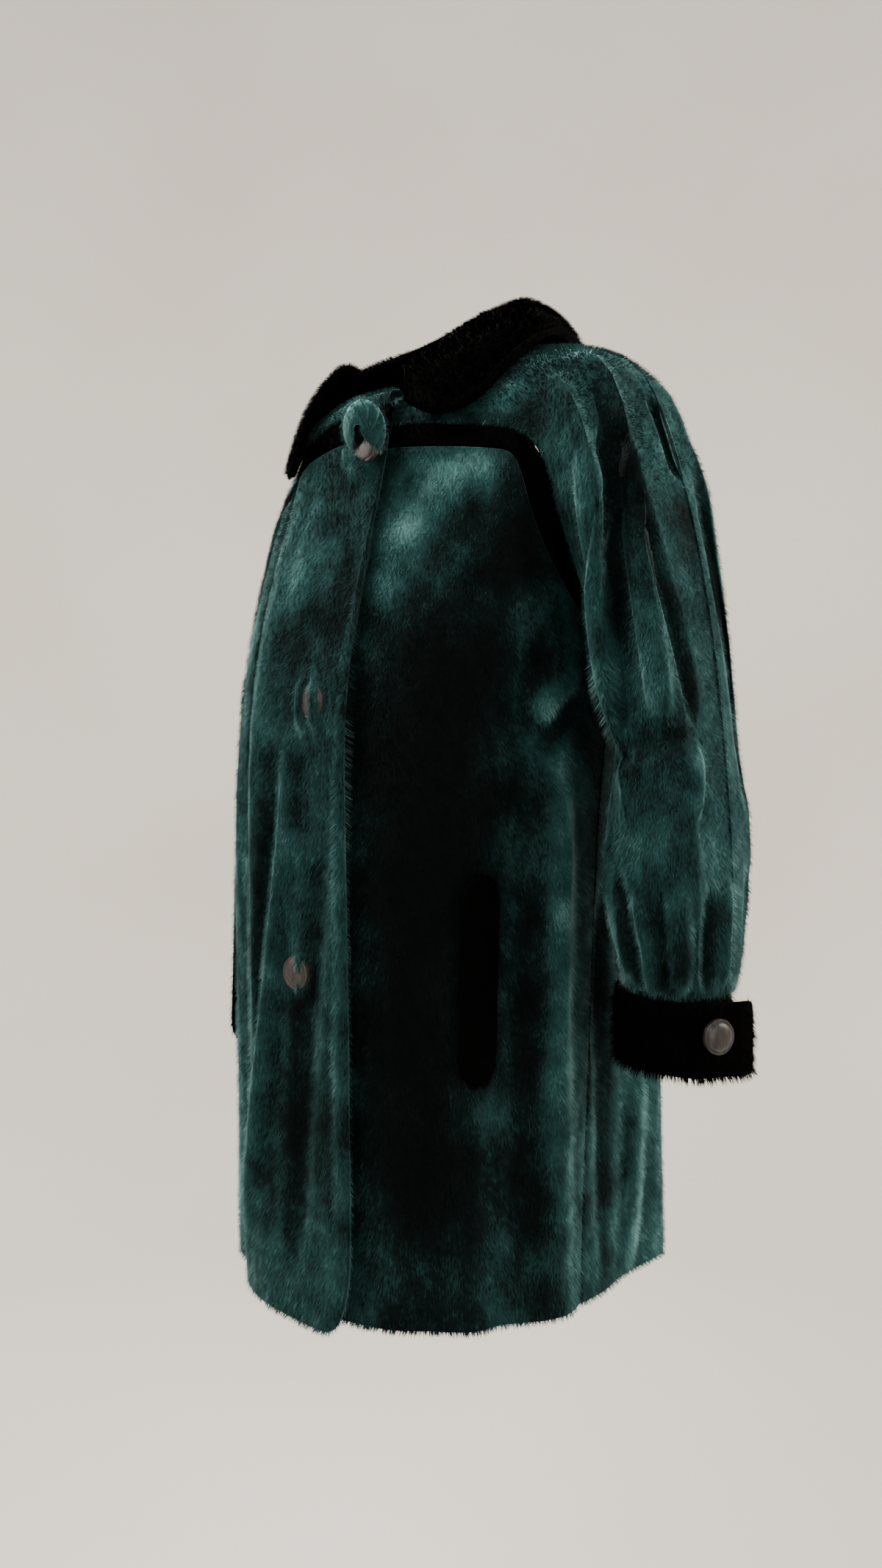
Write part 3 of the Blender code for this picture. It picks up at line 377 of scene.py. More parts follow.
def sight(side: Side, across: float, up: float) -> tuple[Vector, Vector]:
    """The line of sight through one point of a view.

    Args:
        side: The view. In the photograph a point is a pixel, counted from its top left
            corner, and in the others millimetres to the right of the axis and up.
        across: The point's first value.
        up: The point's second value.

    Returns:
        The line's start and its direction.
    """
    if side is Side.PHOTO:
        back, aside = axes(CAMERA_AZIMUTH)
        rise = Vector((0.0, 0.0, PHOTO_CENTRE_Y - up))
        return eye_place(), (aside * (across - PHOTO_CENTRE_X) + rise - back * PHOTO_FOCAL).normalized()
    back, aside = axes(side.value)
    return back * 2.0 + aside * across * MM + Vector((0.0, 0.0, up * MM)), -back


@dataclass(frozen=True)
class Crease:
    """A soft trough (height below 0) or ridge pressed into panels along a path."""

    panels: tuple[str, ...]
    side: Side
    path: tuple[tuple[float, float], ...]
    half_width: float
    height: float
    fade: float = 0.25  # share of the path over which each end dies out

    def strength(self, points: np.ndarray, widen: float = 1.0) -> np.ndarray:
        """How strongly the crease is felt at points.

        Args:
            points: The points, in metres.
            widen: How much wider it is felt than it is.

        Returns:
            1 on its path and 0 beside it, less towards the path's ends.
        """
        path = smooth_path(drop_on(self.panels, self.side, self.path))
        reach = self.half_width * MM * widen
        near = np.all((points > path.min(axis=0) - reach) & (points < path.max(axis=0) + reach), axis=1)
        strength = np.zeros(len(points))
        if near.any():
            _, distance, share = nearest_on(points[near], path)
            ends = np.clip(np.minimum(share, 1.0 - share) / self.fade, 0.0, 1.0)
            taper = np.sin(ends * math.pi / 2.0)
            strength[near] = taper * bump(distance / (reach * (0.55 + 0.45 * taper)))
        return strength


def traced(panels: tuple[str, ...], side: Side, *rows: tuple[Any, ...]) -> tuple[Crease, ...]:
    """Creases drawn on one view.

    Args:
        panels: The panels that they are pressed into.
        side: The view.
        *rows: For each, its path, half width and height, and its fade where it has one.

    Returns:
        The creases.
    """
    return tuple(Crease(panels, side, *row) for row in rows)


@dataclass(frozen=True)
class NapAndPaintedLightPatch:
    """A patch of painted light (lie above 0) or painted shade on the pile, partly where its nap lies another
    way.
    """

    across: float  # its place in the photograph, as for Side.PHOTO
    up: float
    radius: float
    nap_and_painted_light: float


def bump(distance: np.ndarray) -> np.ndarray:
    """A soft ridge: 1 at the crest and 0 from a distance of 1 on."""
    return np.where(distance < 1.0, 0.5 + 0.5 * np.cos(math.pi * np.minimum(distance, 1.0)), 0.0)


def points_of(mesh: Any) -> np.ndarray:
    """All vertices of a mesh as an array."""
    flat = np.zeros(len(mesh.vertices) * 3)
    mesh.vertices.foreach_get("co", flat)
    return flat.reshape(-1, 3)


def normals_of(mesh: Any) -> np.ndarray:
    """The vertex normals of a mesh as an array."""
    flat = np.zeros(len(mesh.vertices) * 3)
    mesh.vertex_normals.foreach_get("vector", flat)
    return flat.reshape(-1, 3)


def unit(vectors: np.ndarray) -> np.ndarray:
    """Vectors of length 1 in the same directions."""
    return vectors / np.maximum(np.linalg.norm(vectors, axis=-1, keepdims=True), 1e-9)


def write_attribute(mesh: Any, name: str, values: np.ndarray) -> None:
    """Write one number for each vertex of a mesh.

    Args:
        mesh: The mesh.
        name: The attribute's name.
        values: The numbers.
    """
    attribute = mesh.attributes.get(name) or mesh.attributes.new(name, "FLOAT", "POINT")
    attribute.data.foreach_set("value", values.astype(np.float32))


def read_attribute(mesh: Any, name: str) -> np.ndarray:
    """One number for each vertex of a mesh, by the attribute's name."""
    values = np.zeros(len(mesh.vertices), np.float32)
    mesh.attributes[name].data.foreach_get("value", values)
    return values.astype(float)


@lru_cache(maxsize=None)
def panel_tree(names: tuple[str, ...]) -> tuple[BVHTree, np.ndarray]:
    """A search tree over some of the frame's nodes.

    Args:
        names: The nodes' names.

    Returns:
        The tree and all of its points.
    """
    corners: list[np.ndarray] = []
    faces: list[tuple[int, ...]] = []
    start = 0
    for name in names:
        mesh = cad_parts[name].data
        corners.append(points_of(mesh))
        faces.extend(tuple(start + k for k in face.vertices) for face in mesh.polygons)
        start += len(mesh.vertices)
    points = np.concatenate(corners)
    return BVHTree.FromPolygons(points.tolist(), faces), points


def drop_on(names: tuple[str, ...], side: Side, path: Sequence[tuple[float, float]]) -> np.ndarray:
    """Find where a path drawn on a view meets the named panels.

    Args:
        names: The panels' nodes.
        side: The view that the path is drawn on.
        path: Its points.

    Returns:
        The points on the panels, in metres. A point beside them goes to the nearest part.
    """
    tree, corners = panel_tree(names)
    places = []
    for across, up in path:
        start, direction = sight(side, across, up)
        place = tree.ray_cast(start, direction)[0]
        if place is None:
            reach = corners - np.array(start)
            along = reach @ np.array(direction)
            aside = np.linalg.norm(reach - along[:, None] * np.array(direction), axis=1)
            place = corners[int(np.argmin(aside + along * 1e-3))]
        places.append(tuple(place))
    return np.array(places)


def nearest_on(points: np.ndarray, path: np.ndarray) -> tuple[np.ndarray, np.ndarray, np.ndarray]:
    """The nearest place of a path to each point.

    Args:
        points: The points.
        path: The path's corners, two or more.

    Returns:
        The places, their distances and their shares of the way along the path.
    """
    steps = np.diff(path, axis=0)
    lengths = np.linalg.norm(steps, axis=1)
    starts = np.concatenate(((0.0,), np.cumsum(lengths)))
    best = np.full(len(points), np.inf)
    share = np.zeros(len(points))
    nearest = np.zeros_like(points)
    for k, step in enumerate(steps):
        along = np.clip((points - path[k]) @ step / max(lengths[k] ** 2, 1e-12), 0.0, 1.0)
        place = path[k] + along[:, None] * step
        distance = np.linalg.norm(points - place, axis=1)
        nearer = distance < best
        best[nearer] = distance[nearer]
        share[nearer] = (starts[k] + along[nearer] * lengths[k]) / starts[-1]
        nearest[nearer] = place[nearer]
    return nearest, best, share


def smooth_path(path: np.ndarray, steps: int = 6) -> np.ndarray:
    """Round a path's corners by a curve through its points.

    Args:
        path: The path's points.
        steps: New points for each stretch.

    Returns:
        The finer path.
    """
    ends = np.concatenate((path[:1] * 2 - path[1:2], path, path[-1:] * 2 - path[-2:-1]))
    finer = []
    for k in range(1, len(path)):
        before, start, end, after = ends[k - 1], ends[k], ends[k + 1], ends[k + 2]
        for step in range(steps):
            t = step / steps
            finer.append(0.5 * (
                2.0 * start + (end - before) * t
                + (2.0 * before - 5.0 * start + 4.0 * end - after) * t**2
                + (3.0 * start - before - 3.0 * end + after) * t**3
            ))
    finer.append(path[-1])
    return np.array(finer)


def hashed(cells: np.ndarray, salt: int) -> np.ndarray:
    """An even random number from 0 to 1 for each cell of a grid.

    Args:
        cells: Whole numbers, three for each cell.
        salt: Chooses one of many such grids.

    Returns:
        The numbers.
    """
    mixed = cells[:, 0] * 73856093 ^ cells[:, 1] * 19349663 ^ cells[:, 2] * 83492791 ^ salt * 40503
    mixed = (mixed ^ (mixed >> 13)) * 1274126177 & 0x7FFFFFFF
    return ((mixed ^ (mixed >> 11)) & 0xFFFF) / 65536.0


def drift(points: np.ndarray, size_mm: float, salt: int) -> np.ndarray:
    """Random vectors that change smoothly over a distance.

    Args:
        points: Where they are read, in metres.
        size_mm: The distance over which they change.
        salt: Chooses one of many such fields.

    Returns:
        Three numbers from -1 to 1 for each point.
    """
    cells = points / (size_mm * MM)
    base = np.floor(cells).astype(np.int64)
    part = cells - base
    part = part * part * (3.0 - 2.0 * part)
    total = np.zeros_like(points)
    for corner in np.ndindex(2, 2, 2):
        weight = np.prod(np.where(np.array(corner) == 1, part, 1.0 - part), axis=1)
        for axis in range(3):
            total[:, axis] += weight * (hashed(base + np.array(corner), salt + axis) * 2.0 - 1.0)
    return total


def tuft_centres(points: np.ndarray, size_mm: float, salt: int) -> tuple[np.ndarray, np.ndarray]:
    """The tuft that each hair belongs to: the nearest of one centre in each cell.

    Args:
        points: The hairs' roots, in metres.
        size_mm: The size of a tuft.
        salt: Chooses the centres.

    Returns:
        The centres, and a random number for each tuft.
    """
    size = size_mm * MM
    base = np.floor(points / size).astype(np.int64)
    best = np.full(len(points), np.inf)
    centres = points.copy()
    tones = np.zeros(len(points))
    for offset in np.ndindex(3, 3, 3):
        cell = base + np.array(offset) - 1
        place = np.stack([cell[:, k] + hashed(cell, salt + k) for k in range(3)], axis=1) * size
        distance = np.linalg.norm(place - points, axis=1)
        nearer = distance < best
        best[nearer] = distance[nearer]
        centres[nearer] = place[nearer]
        tones[nearer] = hashed(cell[nearer], salt + 7)
    return centres, tones


def wearer_line(points: np.ndarray, node: str) -> np.ndarray:
    """The nearest place of the wearer's trunk or arm, from which a panel faces away.

    Args:
        points: Points of the panel, in metres.
        node: The panel's name, which tells the arm from the trunk.

    Returns:
        The places.
    """
    line = np.array(TRUNK)
    if "sleeve" in node or "cuff" in node:
        line = np.array(ARM)
        if node.endswith("right"):
            line = line * np.array((-1.0, 1.0, 1.0)) + np.array((0.0, RIGHT_ARM_BACK, 0.0))
    return nearest_on(points, line)[0]


def link(name: str, mesh: Any) -> Any:
    """Put a new object with this mesh in the scene, at the origin."""
    item = bpy.data.objects.new(name, mesh)
    bpy.context.scene.collection.objects.link(item)
    return item


def select_only(item: Any) -> None:
    """Select one object, make it the active one and leave out all others."""
    bpy.ops.object.select_all(action="DESELECT")
    item.select_set(True)
    bpy.context.view_layer.objects.active = item


def apply_modifiers(item: Any) -> None:
    """Apply all modifiers of an object in their order."""
    select_only(item)
    for modifier in list(item.modifiers):
        bpy.ops.object.modifier_apply(modifier=modifier.name)


@dataclass
class Pile:
    """The hairs of one panel: flat pointed blades that lean down the coat."""

    length: float = 5.4
    width: float = 0.80
    density: float = 0.42  # blades for each square millimetre
    lean: float = 40.0  # degrees that they stand off the skin
    tuft: float = 5.0
    pull: float = 0.16  # how far the tips draw together into tufts
    shaggy: tuple[Crease, ...] = ()  # paths along which the pile stands in locks

    def grow(self, panel: Any, node: str, seed: int, nap_and_painted_light: Callable[[np.ndarray], np.ndarray]) -> Any:
        """Grow the pile on a panel's fur side and its free edges.

        Args:
            panel: The finished panel.
            node: The node that it replaces.
            seed: Seeds the places of the hairs.
            nap_and_painted_light: Gives the painted light and shade of the pile at points, partly its nap.

        Returns:
            The pile's object.
        """
        random = np.random.default_rng(seed)
        mesh = panel.data
        mesh.calc_loop_triangles()
        triangles = np.zeros(len(mesh.loop_triangles) * 3, np.int32)
        mesh.loop_triangles.foreach_get("vertices", triangles)
        triangles = triangles.reshape(-1, 3)
        points, normals, side = points_of(mesh), normals_of(mesh), read_attribute(mesh, "side")
        grown = self.where(points, side, node)[triangles].mean(axis=1)
        corner = points[triangles]
        areas = np.linalg.norm(np.cross(corner[:, 1] - corner[:, 0], corner[:, 2] - corner[:, 0]), axis=1) / 2
        areas = areas * grown
        count = int(areas.sum() / MM**2 * self.density * (1.0))
        chosen = random.choice(len(areas), size=count, p=areas / areas.sum())
        shares = random.random((count, 2))
        flipped = shares.sum(axis=1) > 1.0
        shares[flipped] = 1.0 - shares[flipped]
        shares = np.concatenate((1.0 - shares.sum(axis=1, keepdims=True), shares), axis=1)
        roots = np.einsum("nk,nkc->nc", shares, corner[chosen])
        facing = unit(np.einsum("nk,nkc->nc", shares, normals[triangles[chosen]]))
        return self.blades(panel, node, random, roots, facing, nap_and_painted_light)

    def where(self, points: np.ndarray, side: np.ndarray, node: str) -> np.ndarray:
        """Where hairs grow: on the fur side, and on edges that no panel is sewn to.

        Args:
            points: The panel's points.
            side: 1 on the fur side, -1 on the skin side.
            node: The panel's node.

        Returns:
            1 where hairs grow and 0 where none do.
        """
        grown = (side > FUR_SIDE).astype(float)
        others = [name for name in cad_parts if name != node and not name.startswith("button")]
        tree = panel_tree(tuple(others))[0]
        for k in np.nonzero((side > -0.5) & (side <= FUR_SIDE))[0]:
            gap = tree.find_nearest(Vector(points[k]), 0.0035)[3]
            grown[k] = 1.0 if gap is None else 0.0
        return grown

    def blades(
        self, panel: Any, node: str, random: Any, roots: np.ndarray, facing: np.ndarray,
        nap_and_painted_light: Callable[[np.ndarray], np.ndarray],
    ) -> Any:
        """Make the blades from their roots.

        Args:
            panel: The panel they grow on.
            node: The node that the panel replaces.
            random: The source of random numbers.
            roots: Where they grow, in metres.
            facing: The skin's outward directions there.
            nap_and_painted_light: Gives the painted light and shade of the pile at points, partly its nap.

        Returns:
            The pile's object.
        """
        count = len(roots)
        away = unit(roots - wearer_line(roots, node))
        nap = np.array((0.0, 0.0, -1.0)) + away * 0.25
        nap = nap + drift(roots, 48.0, 11) * 0.25 + drift(roots, 9.0, 23) * 0.22
        nap = unit(nap - facing * np.sum(nap * facing, axis=1, keepdims=True))
        lock = np.zeros(count)
        for crease in self.shaggy:
            lock = np.maximum(lock, crease.strength(roots))
        rise = np.radians(self.lean + 16.0 * lock + random.normal(0.0, 5.0, count))[:, None]
        length = self.length * MM * (0.80 + 0.30 * random.random(count) + 0.80 * lock)
        tips = roots + (nap * np.cos(rise) + facing * np.sin(rise)) * length[:, None]
        centres, tones = tuft_centres(roots, self.tuft, 5)
        gather = (centres - roots) * (self.pull + 0.45 * lock)[:, None]
        gather = gather - facing * np.sum(gather * facing, axis=1, keepdims=True)
        tips = tips + gather
        across = unit(np.cross(tips - roots, facing)) * (self.width * MM / 2.0)
        across = across * (0.8 + 0.4 * random.random(count))[:, None]
        base = roots - facing * 0.5 * MM
        corners = np.stack((base - across, base + across, tips), axis=1).reshape(-1, 3)
        mesh = bpy.data.meshes.new(node + "_pile")
        mesh.vertices.add(count * 3)
        mesh.vertices.foreach_set("co", corners.ravel())
        mesh.loops.add(count * 3)
        mesh.loops.foreach_set("vertex_index", np.arange(count * 3))
        mesh.polygons.add(count)
        mesh.polygons.foreach_set("loop_start", np.arange(count) * 3)
        mesh.update(calc_edges=True)
        shade = unit(facing + drift(roots, 7.0, 31) * 0.17 + random.normal(0.0, 0.07, (count, 3)))
        mesh.shade_smooth()
        mesh.normals_split_custom_set_from_vertices(np.repeat(shade, 3, axis=0).tolist())
        tone = 0.65 * tones + 0.35 * random.random(count) - 0.5 + 0.3 * lock
        write_attribute(mesh, "tone", np.repeat(tone, 3))
        # painted light and shade of the pile, partly its nap, at each blade's root
        write_attribute(mesh, "nap_and_painted_light", np.repeat(nap_and_painted_light(roots), 3))
        # roots darker than tips, for painted shade down in the pile
        write_attribute(mesh, "tip", np.tile((-0.5, -0.5, 1.0), count))
        mesh.materials.append(panel.data.materials[0])
        return link(node + "_pile", mesh)


@dataclass
class FurPanel:
    """One panel cut from pelt, over the node of the same shape."""

    node: str
    fur: ShearedFur
    slot: str
    flat: tuple[float, float]  # the cut's greatest width and length
    cut_share: float  # the cut's area against its width times its length
    creases: tuple[Crease, ...] = ()
    nap_and_light_patches: tuple[NapAndPaintedLightPatch, ...] = ()
    pile: Pile = field(default_factory=Pile)
    nap_and_painted_light: float = 0.22
    levels: int = 2
    rim: float = 2.4
    sunk: float = 2.0  # how far the skin lies below the tips of the pile
    fur_inside: bool = False
    rests_on: tuple[str, ...] = ()

    def soft_copy(self) -> tuple[Any, np.ndarray]:
        """Copy the node's solid, soften its rims and make it finer.

        Returns:
            The new object, with an attribute that tells its fur side, and for each of its
            points the nearest point of the solid's fur side.
        """
        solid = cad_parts[self.node].data
        shape = bmesh.new()
        shape.from_mesh(solid)
        bmesh.ops.remove_doubles(shape, verts=shape.verts[:], dist=1e-5)
        bmesh.ops.recalc_face_normals(shape, faces=shape.faces[:])
        outer, inner = self.two_sides(shape)
        bmesh.ops.join_triangles(
            shape, faces=shape.faces[:], angle_face_threshold=math.radians(40.0),
            angle_shape_threshold=math.pi,
        )
        rims = [e for e in shape.edges if len(e.link_faces) == 2 and e.calc_face_angle() > SHARP]
        bmesh.ops.bevel(
            shape, geom=rims, offset=self.rim * MM, offset_type="OFFSET", segments=1, profile=0.5,
            affect="EDGES", clamp_overlap=True,
        )
        mesh = bpy.data.meshes.new(self.node + "_fur")
        shape.to_mesh(mesh)
        shape.free()
        item = link(self.node + "_fur", mesh)
        finer = item.modifiers.new("finer", "SUBSURF")
        finer.levels = self.levels
        finer.render_levels = self.levels
        apply_modifiers(item)
        item.data.shade_smooth()
        side = np.zeros(len(item.data.vertices))
        over = np.zeros((len(side), 3))
        for k, vertex in enumerate(item.data.vertices):
            over[k], _, _, to_outer = outer.find_nearest(vertex.co)
            to_inner = inner.find_nearest(vertex.co)[3]
            side[k] = (to_inner - to_outer) / max(to_inner + to_outer, 1e-9)
        write_attribute(item.data, "side", side)
        return item, over

    def two_sides(self, shape: Any) -> tuple[BVHTree, BVHTree]:
        """Tell the fur side of the wall from its skin side.

        Args:
            shape: The wall, whose rims are its only sharp edges.

        Returns:
            A search tree over each side.
        """
        shape.faces.ensure_lookup_table()
        seen: set[int] = set()
        regions: list[tuple[float, float, list[Any]]] = []
        for first in shape.faces:
            if first.index in seen:
                continue
            seen.add(first.index)
            region = [first]
            for face in region:
                for edge in face.edges:
                    if len(edge.link_faces) != 2 or edge.calc_face_angle() > SHARP:
                        continue
                    for other in edge.link_faces:
                        if other.index not in seen:
                            seen.add(other.index)
                            region.append(other)
            middles = np.array([face.calc_center_median() for face in region])
            away = unit(middles - wearer_line(middles, self.node))
            facing = np.array([face.normal for face in region])
            weights = np.array([face.calc_area() for face in region])
            regions.append((weights.sum(), float(np.sum(np.sum(away * facing, axis=1) * weights)), region))
        regions.sort(key=lambda row: -row[0])
        two = sorted(regions[:2], key=lambda row: -row[1])
        trees = []
        for _, _, region in two:
            corners = [[vertex.co[:] for vertex in face.verts] for face in region]
            flat = [point for face in corners for point in face]
            faces = [(3 * k, 3 * k + 1, 3 * k + 2) for k in range(len(corners))]
            trees.append(BVHTree.FromPolygons(flat, faces))
        return trees[0], trees[1]

    def press(self, item: Any, over: np.ndarray) -> None:
        """Press the creases into a panel and sink its skin below the pile's tips.

        Both sides of the wall move alike, so that it keeps its thickness.

        Args:
            item: The softened copy.
            over: The point of the fur side that lies over each of its points.
        """
        mesh = item.data
        side = read_attribute(mesh, "side")
        points, normals = points_of(mesh), normals_of(mesh)
        height = -self.sunk * np.clip(side, 0.0, 1.0)
        for crease in self.creases:
            height += crease.height * crease.strength(over)
        # the skin side gives way a little more, so that it never shows in a trough
        height = np.where((side < 0.0) & (height < 0.0), height * 1.25, height)
        outward = normals * np.sign(side)[:, None]
        moved = points + outward * (height * np.abs(side) ** 0.5)[:, None] * MM
        mesh.vertices.foreach_set("co", moved.ravel())
        mesh.update()

    def painted_light_and_nap(self, points: np.ndarray) -> np.ndarray:
        """How pale the pile is painted at points of this panel: painted light and shade from its creases and
        patches, partly the nap, over a base value.

        Args:
            points: The points, in metres.

        Returns:
            A number for each point.
        """
        total = np.full(len(points), self.nap_and_painted_light)
        # painted shade in the troughs and painted light on the ridges of the creases
        for crease in self.creases:
            depth = min(max(crease.height, -DEEPEST_PAINTED_SHADE), DEEPEST_PAINTED_SHADE)
            total += depth * CREASE_PAINTED_LIGHT * crease.strength(points, 1.15)
        # patches of painted light and shade, partly the nap
        for light_patch in self.nap_and_light_patches:
            centre = drop_on((self.node,), Side.PHOTO, ((light_patch.across, light_patch.up),))[0]
            distance = np.linalg.norm(points - centre, axis=1) / (light_patch.radius * MM)
            total += light_patch.nap_and_painted_light * np.exp(-(distance**2) * 2.0)
        return total

    def build(self, number: int) -> Any:
        """Build and dress the panel and its pile.

        Args:
            number: The panel's place in the order of making, which seeds its hairs.

        Returns:
            The panel's object.
        """
        item, over = self.soft_copy()
        self.press(item, over)
        mesh = item.data
        for finish in (self.fur, self.fur if self.fur_inside else SUEDE):
            mesh.materials.append(MATERIALS[finish.name])
        side = read_attribute(mesh, "side")
        for face in mesh.polygons:
            face.material_index = int(np.mean(side[list(face.vertices)]) < -0.4)
        points = points_of(mesh)
        # painted light and shade, partly the nap, at each point of the panel
        write_attribute(mesh, "nap_and_painted_light", self.painted_light_and_nap(points))
        write_attribute(mesh, "tone", np.zeros(len(points)))
        # the skin takes the roots' value, for painted shade down in the pile
        write_attribute(mesh, "tip", np.full(len(points), -0.4))
        pile = self.pile.grow(item, self.node, number, self.painted_light_and_nap)
        for piece in (item, pile):
            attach(piece, BODY)
        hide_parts(self.node)
        report(item)
        report(pile)
        return item


def report(item: Any) -> None:
    """Say what was built: its name and how many faces it has."""
    LOG.info("%s: %d faces", item.name, len(item.data.polygons))


@dataclass
class HornButton:
    """A turned button with a domed face inside a raised lip, over its node."""

    node: str
    finish: PolishedHorn
    dome: float = 3.0
    lip: float = 1.5
    groove: float = 0.5
    sunk: float = 0.0  # how deep it is drawn into the pile
    sides: int = 48

    def place(self) -> tuple[Matrix, float, float]:
        """Where the node's button is.

        Returns:
            The matrix from a button that lies flat to its place, its radius and height.
        """
        points = points_of(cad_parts[self.node].data)
        points = np.unique(np.round(points, 6), axis=0)
        middle = (points.min(axis=0) + points.max(axis=0)) / 2.0
        facing = np.linalg.svd(points - points.mean(axis=0))[2][2]
        away = middle - wearer_line(middle[None, :], self.node)[0]
        facing = facing * np.sign(facing @ away)
        heights = points @ facing
        base = middle + facing * (heights.min() - middle @ facing - self.sunk * MM)
        radius = np.linalg.norm(points - middle - np.outer(heights - middle @ facing, facing), axis=1).max()
        turn = Vector((0.0, 0.0, 1.0)).rotation_difference(Vector(facing)).to_matrix().to_4x4()
        return Matrix.Translation(Vector(base)) @ turn, float(radius), float(np.ptp(heights))

    def build(self) -> Any:
        """Turn the button and set it in its place.

        Returns:
            The button's object.
        """
        matrix, radius, height = self.place()
        body = height - self.dome * 0.5 * MM
        bpy.ops.object.select_all(action="DESELECT")
        bpy.ops.mesh.primitive_cylinder_add(
            vertices=self.sides, radius=radius, depth=body, end_fill_type="NGON",
            location=(0.0, 0.0, body / 2.0),
        )
        item = bpy.context.active_object
        item.name = self.node + "_horn"
        bpy.ops.object.transform_apply(location=True, rotation=True, scale=True)
        bpy.ops.object.mode_set(mode="EDIT")
        bpy.ops.mesh.select_all(action="DESELECT")
        bpy.ops.mesh.select_mode(type="FACE")
        bpy.ops.object.mode_set(mode="OBJECT")
        for face in item.data.polygons:
            face.select = face.normal.z > 0.9
        bpy.ops.object.mode_set(mode="EDIT")
        bpy.ops.mesh.inset(thickness=self.lip * MM, depth=0.0)
        bpy.ops.mesh.inset(thickness=0.35 * MM, depth=-self.groove * MM)
        bpy.ops.mesh.inset(thickness=0.35 * MM, depth=self.groove * MM)
        steps = 6
        inner = radius - (self.lip + 0.7) * MM
        for k in range(steps):
            low, high = k / steps, (k + 1) / steps
            step = inner * (math.cos(low * math.pi / 2.0) - math.cos(high * math.pi / 2.0)) * 0.97
            rise = self.dome * MM * (math.sin(high * math.pi / 2.0) - math.sin(low * math.pi / 2.0))
            bpy.ops.mesh.inset(thickness=step, depth=rise)
        bpy.ops.object.mode_set(mode="OBJECT")
        bevel = item.modifiers.new("soft_edges", "BEVEL")
        bevel.width = 0.35 * MM
        bevel.segments = 2
        bevel.limit_method = "ANGLE"
        bevel.angle_limit = math.radians(40.0)
        apply_modifiers(item)
        bpy.ops.object.shade_smooth_by_angle(angle=math.radians(40.0))
        item.data.transform(matrix)
        item.data.update()
        item.data.materials.append(MATERIALS[self.finish.name])
        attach(item, BODY)
        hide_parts(self.node)
        report(item)
        return item


@dataclass
class Studio:
    """A pale floor that sweeps up into a round wall, with soft lights and the camera."""

    floor_radius: float = 1.9
    sweep: float = 0.8
    wall_height: float = 3.4
    sides: int = 96
    lights: tuple[tuple[str, float, float, float, float, float], ...] = (
        # name, azimuth, elevation, distance, size, power
        ("key", -20.0, 46.0, 1.7, 1.2, 46.0),
        ("window", 118.0, 22.0, 1.7, 1.2, 24.0),
        ("fill", 60.0, 5.0, 1.9, 1.6, 10.0),
        ("behind", 225.0, 40.0, 1.8, 1.4, 26.0),
    )

    def build_room(self) -> None:
        """Build the floor, its sweep and the wall in one piece."""
        bpy.ops.object.select_all(action="DESELECT")
        bpy.ops.mesh.primitive_circle_add(
            vertices=self.sides, radius=self.floor_radius, fill_type="NGON",
            location=(0.0, 0.0, FLOOR_HEIGHT),
        )
        room = bpy.context.active_object
        room.name = "floor_and_wall"
        bpy.ops.object.transform_apply(location=True, rotation=True, scale=True)
        bpy.ops.object.mode_set(mode="EDIT")
        bpy.ops.mesh.select_mode(type="EDGE")
        bpy.ops.mesh.select_all(action="SELECT")
        bpy.ops.mesh.region_to_loop()
        reach = self.floor_radius
        steps = 10
        for k in range(steps):
            low, high = math.radians(90.0 * k / steps), math.radians(90.0 * (k + 1) / steps)
            rise = self.sweep * (math.cos(low) - math.cos(high))
            wider = reach + self.sweep * (math.sin(high) - math.sin(low))
            bpy.ops.mesh.extrude_region_move(TRANSFORM_OT_translate={"value": (0.0, 0.0, rise)})
            bpy.ops.transform.resize(value=(wider / reach, wider / reach, 1.0))
            reach = wider
        bpy.ops.mesh.extrude_region_move(TRANSFORM_OT_translate={"value": (0.0, 0.0, self.wall_height)})
        bpy.ops.mesh.select_all(action="SELECT")
        bpy.ops.mesh.normals_make_consistent(inside=True)
        bpy.ops.object.mode_set(mode="OBJECT")
        bpy.ops.object.shade_smooth()
        room.data.materials.append(MATERIALS[PAINT.name])

    def build_lights(self) -> None:
        """Hang the soft lights and set the even light of the room."""
        aim = Vector((0.0, 0.0, CAMERA_HEIGHT))
        for name, azimuth, elevation, distance, size, power in self.lights:
            light = bpy.data.lights.new(name, "AREA")
            light.shape = "DISK"
            light.size = size
            light.energy = power
            light.color = linear("#FFF8EF")[:3]
            item = bpy.data.objects.new(name, light)
            bpy.context.scene.collection.objects.link(item)
            back = axes(azimuth)[0]
            rise = math.radians(elevation)
            away = back * math.cos(rise) + Vector((0.0, 0.0, math.sin(rise)))
            item.location = aim + away * distance
            item.rotation_euler = away.to_track_quat("Z", "Y").to_euler()
        world = bpy.data.worlds.new("room_light")
        world.use_nodes = True
        background = world.node_tree.nodes["Background"]
        background.inputs["Color"].default_value = linear("#F1EEEA")
        background.inputs["Strength"].default_value = 1.25
        bpy.context.scene.world = world

    def build_camera(self) -> None:
        """Set the camera where the photograph was taken from."""
        data = bpy.data.cameras.new("camera")
        data.sensor_fit = "VERTICAL"
        data.sensor_height = SENSOR_MM
        data.lens = PHOTO_FOCAL / PHOTO_HEIGHT * SENSOR_MM
        data.clip_start = 0.05
        camera = bpy.data.objects.new("camera", data)
        bpy.context.scene.collection.objects.link(camera)
        back, aside = axes(CAMERA_AZIMUTH)
        up = Vector((0.0, 0.0, 1.0))
        matrix = Matrix((aside, up, back)).transposed().to_4x4()
        matrix.translation = eye_place()
        camera.matrix_world = matrix
        bpy.context.scene.camera = camera

    def build(self) -> None:
        """Build the room, its lights and the camera."""
        self.build_camera()
        self.build_room()
        self.build_lights()


FINISHES = (GREEN_FUR, BLACK_FUR, SUEDE, HORN, GREY_HORN, PAINT)
MATERIALS = {finish.name: finish.make() for finish in FINISHES}

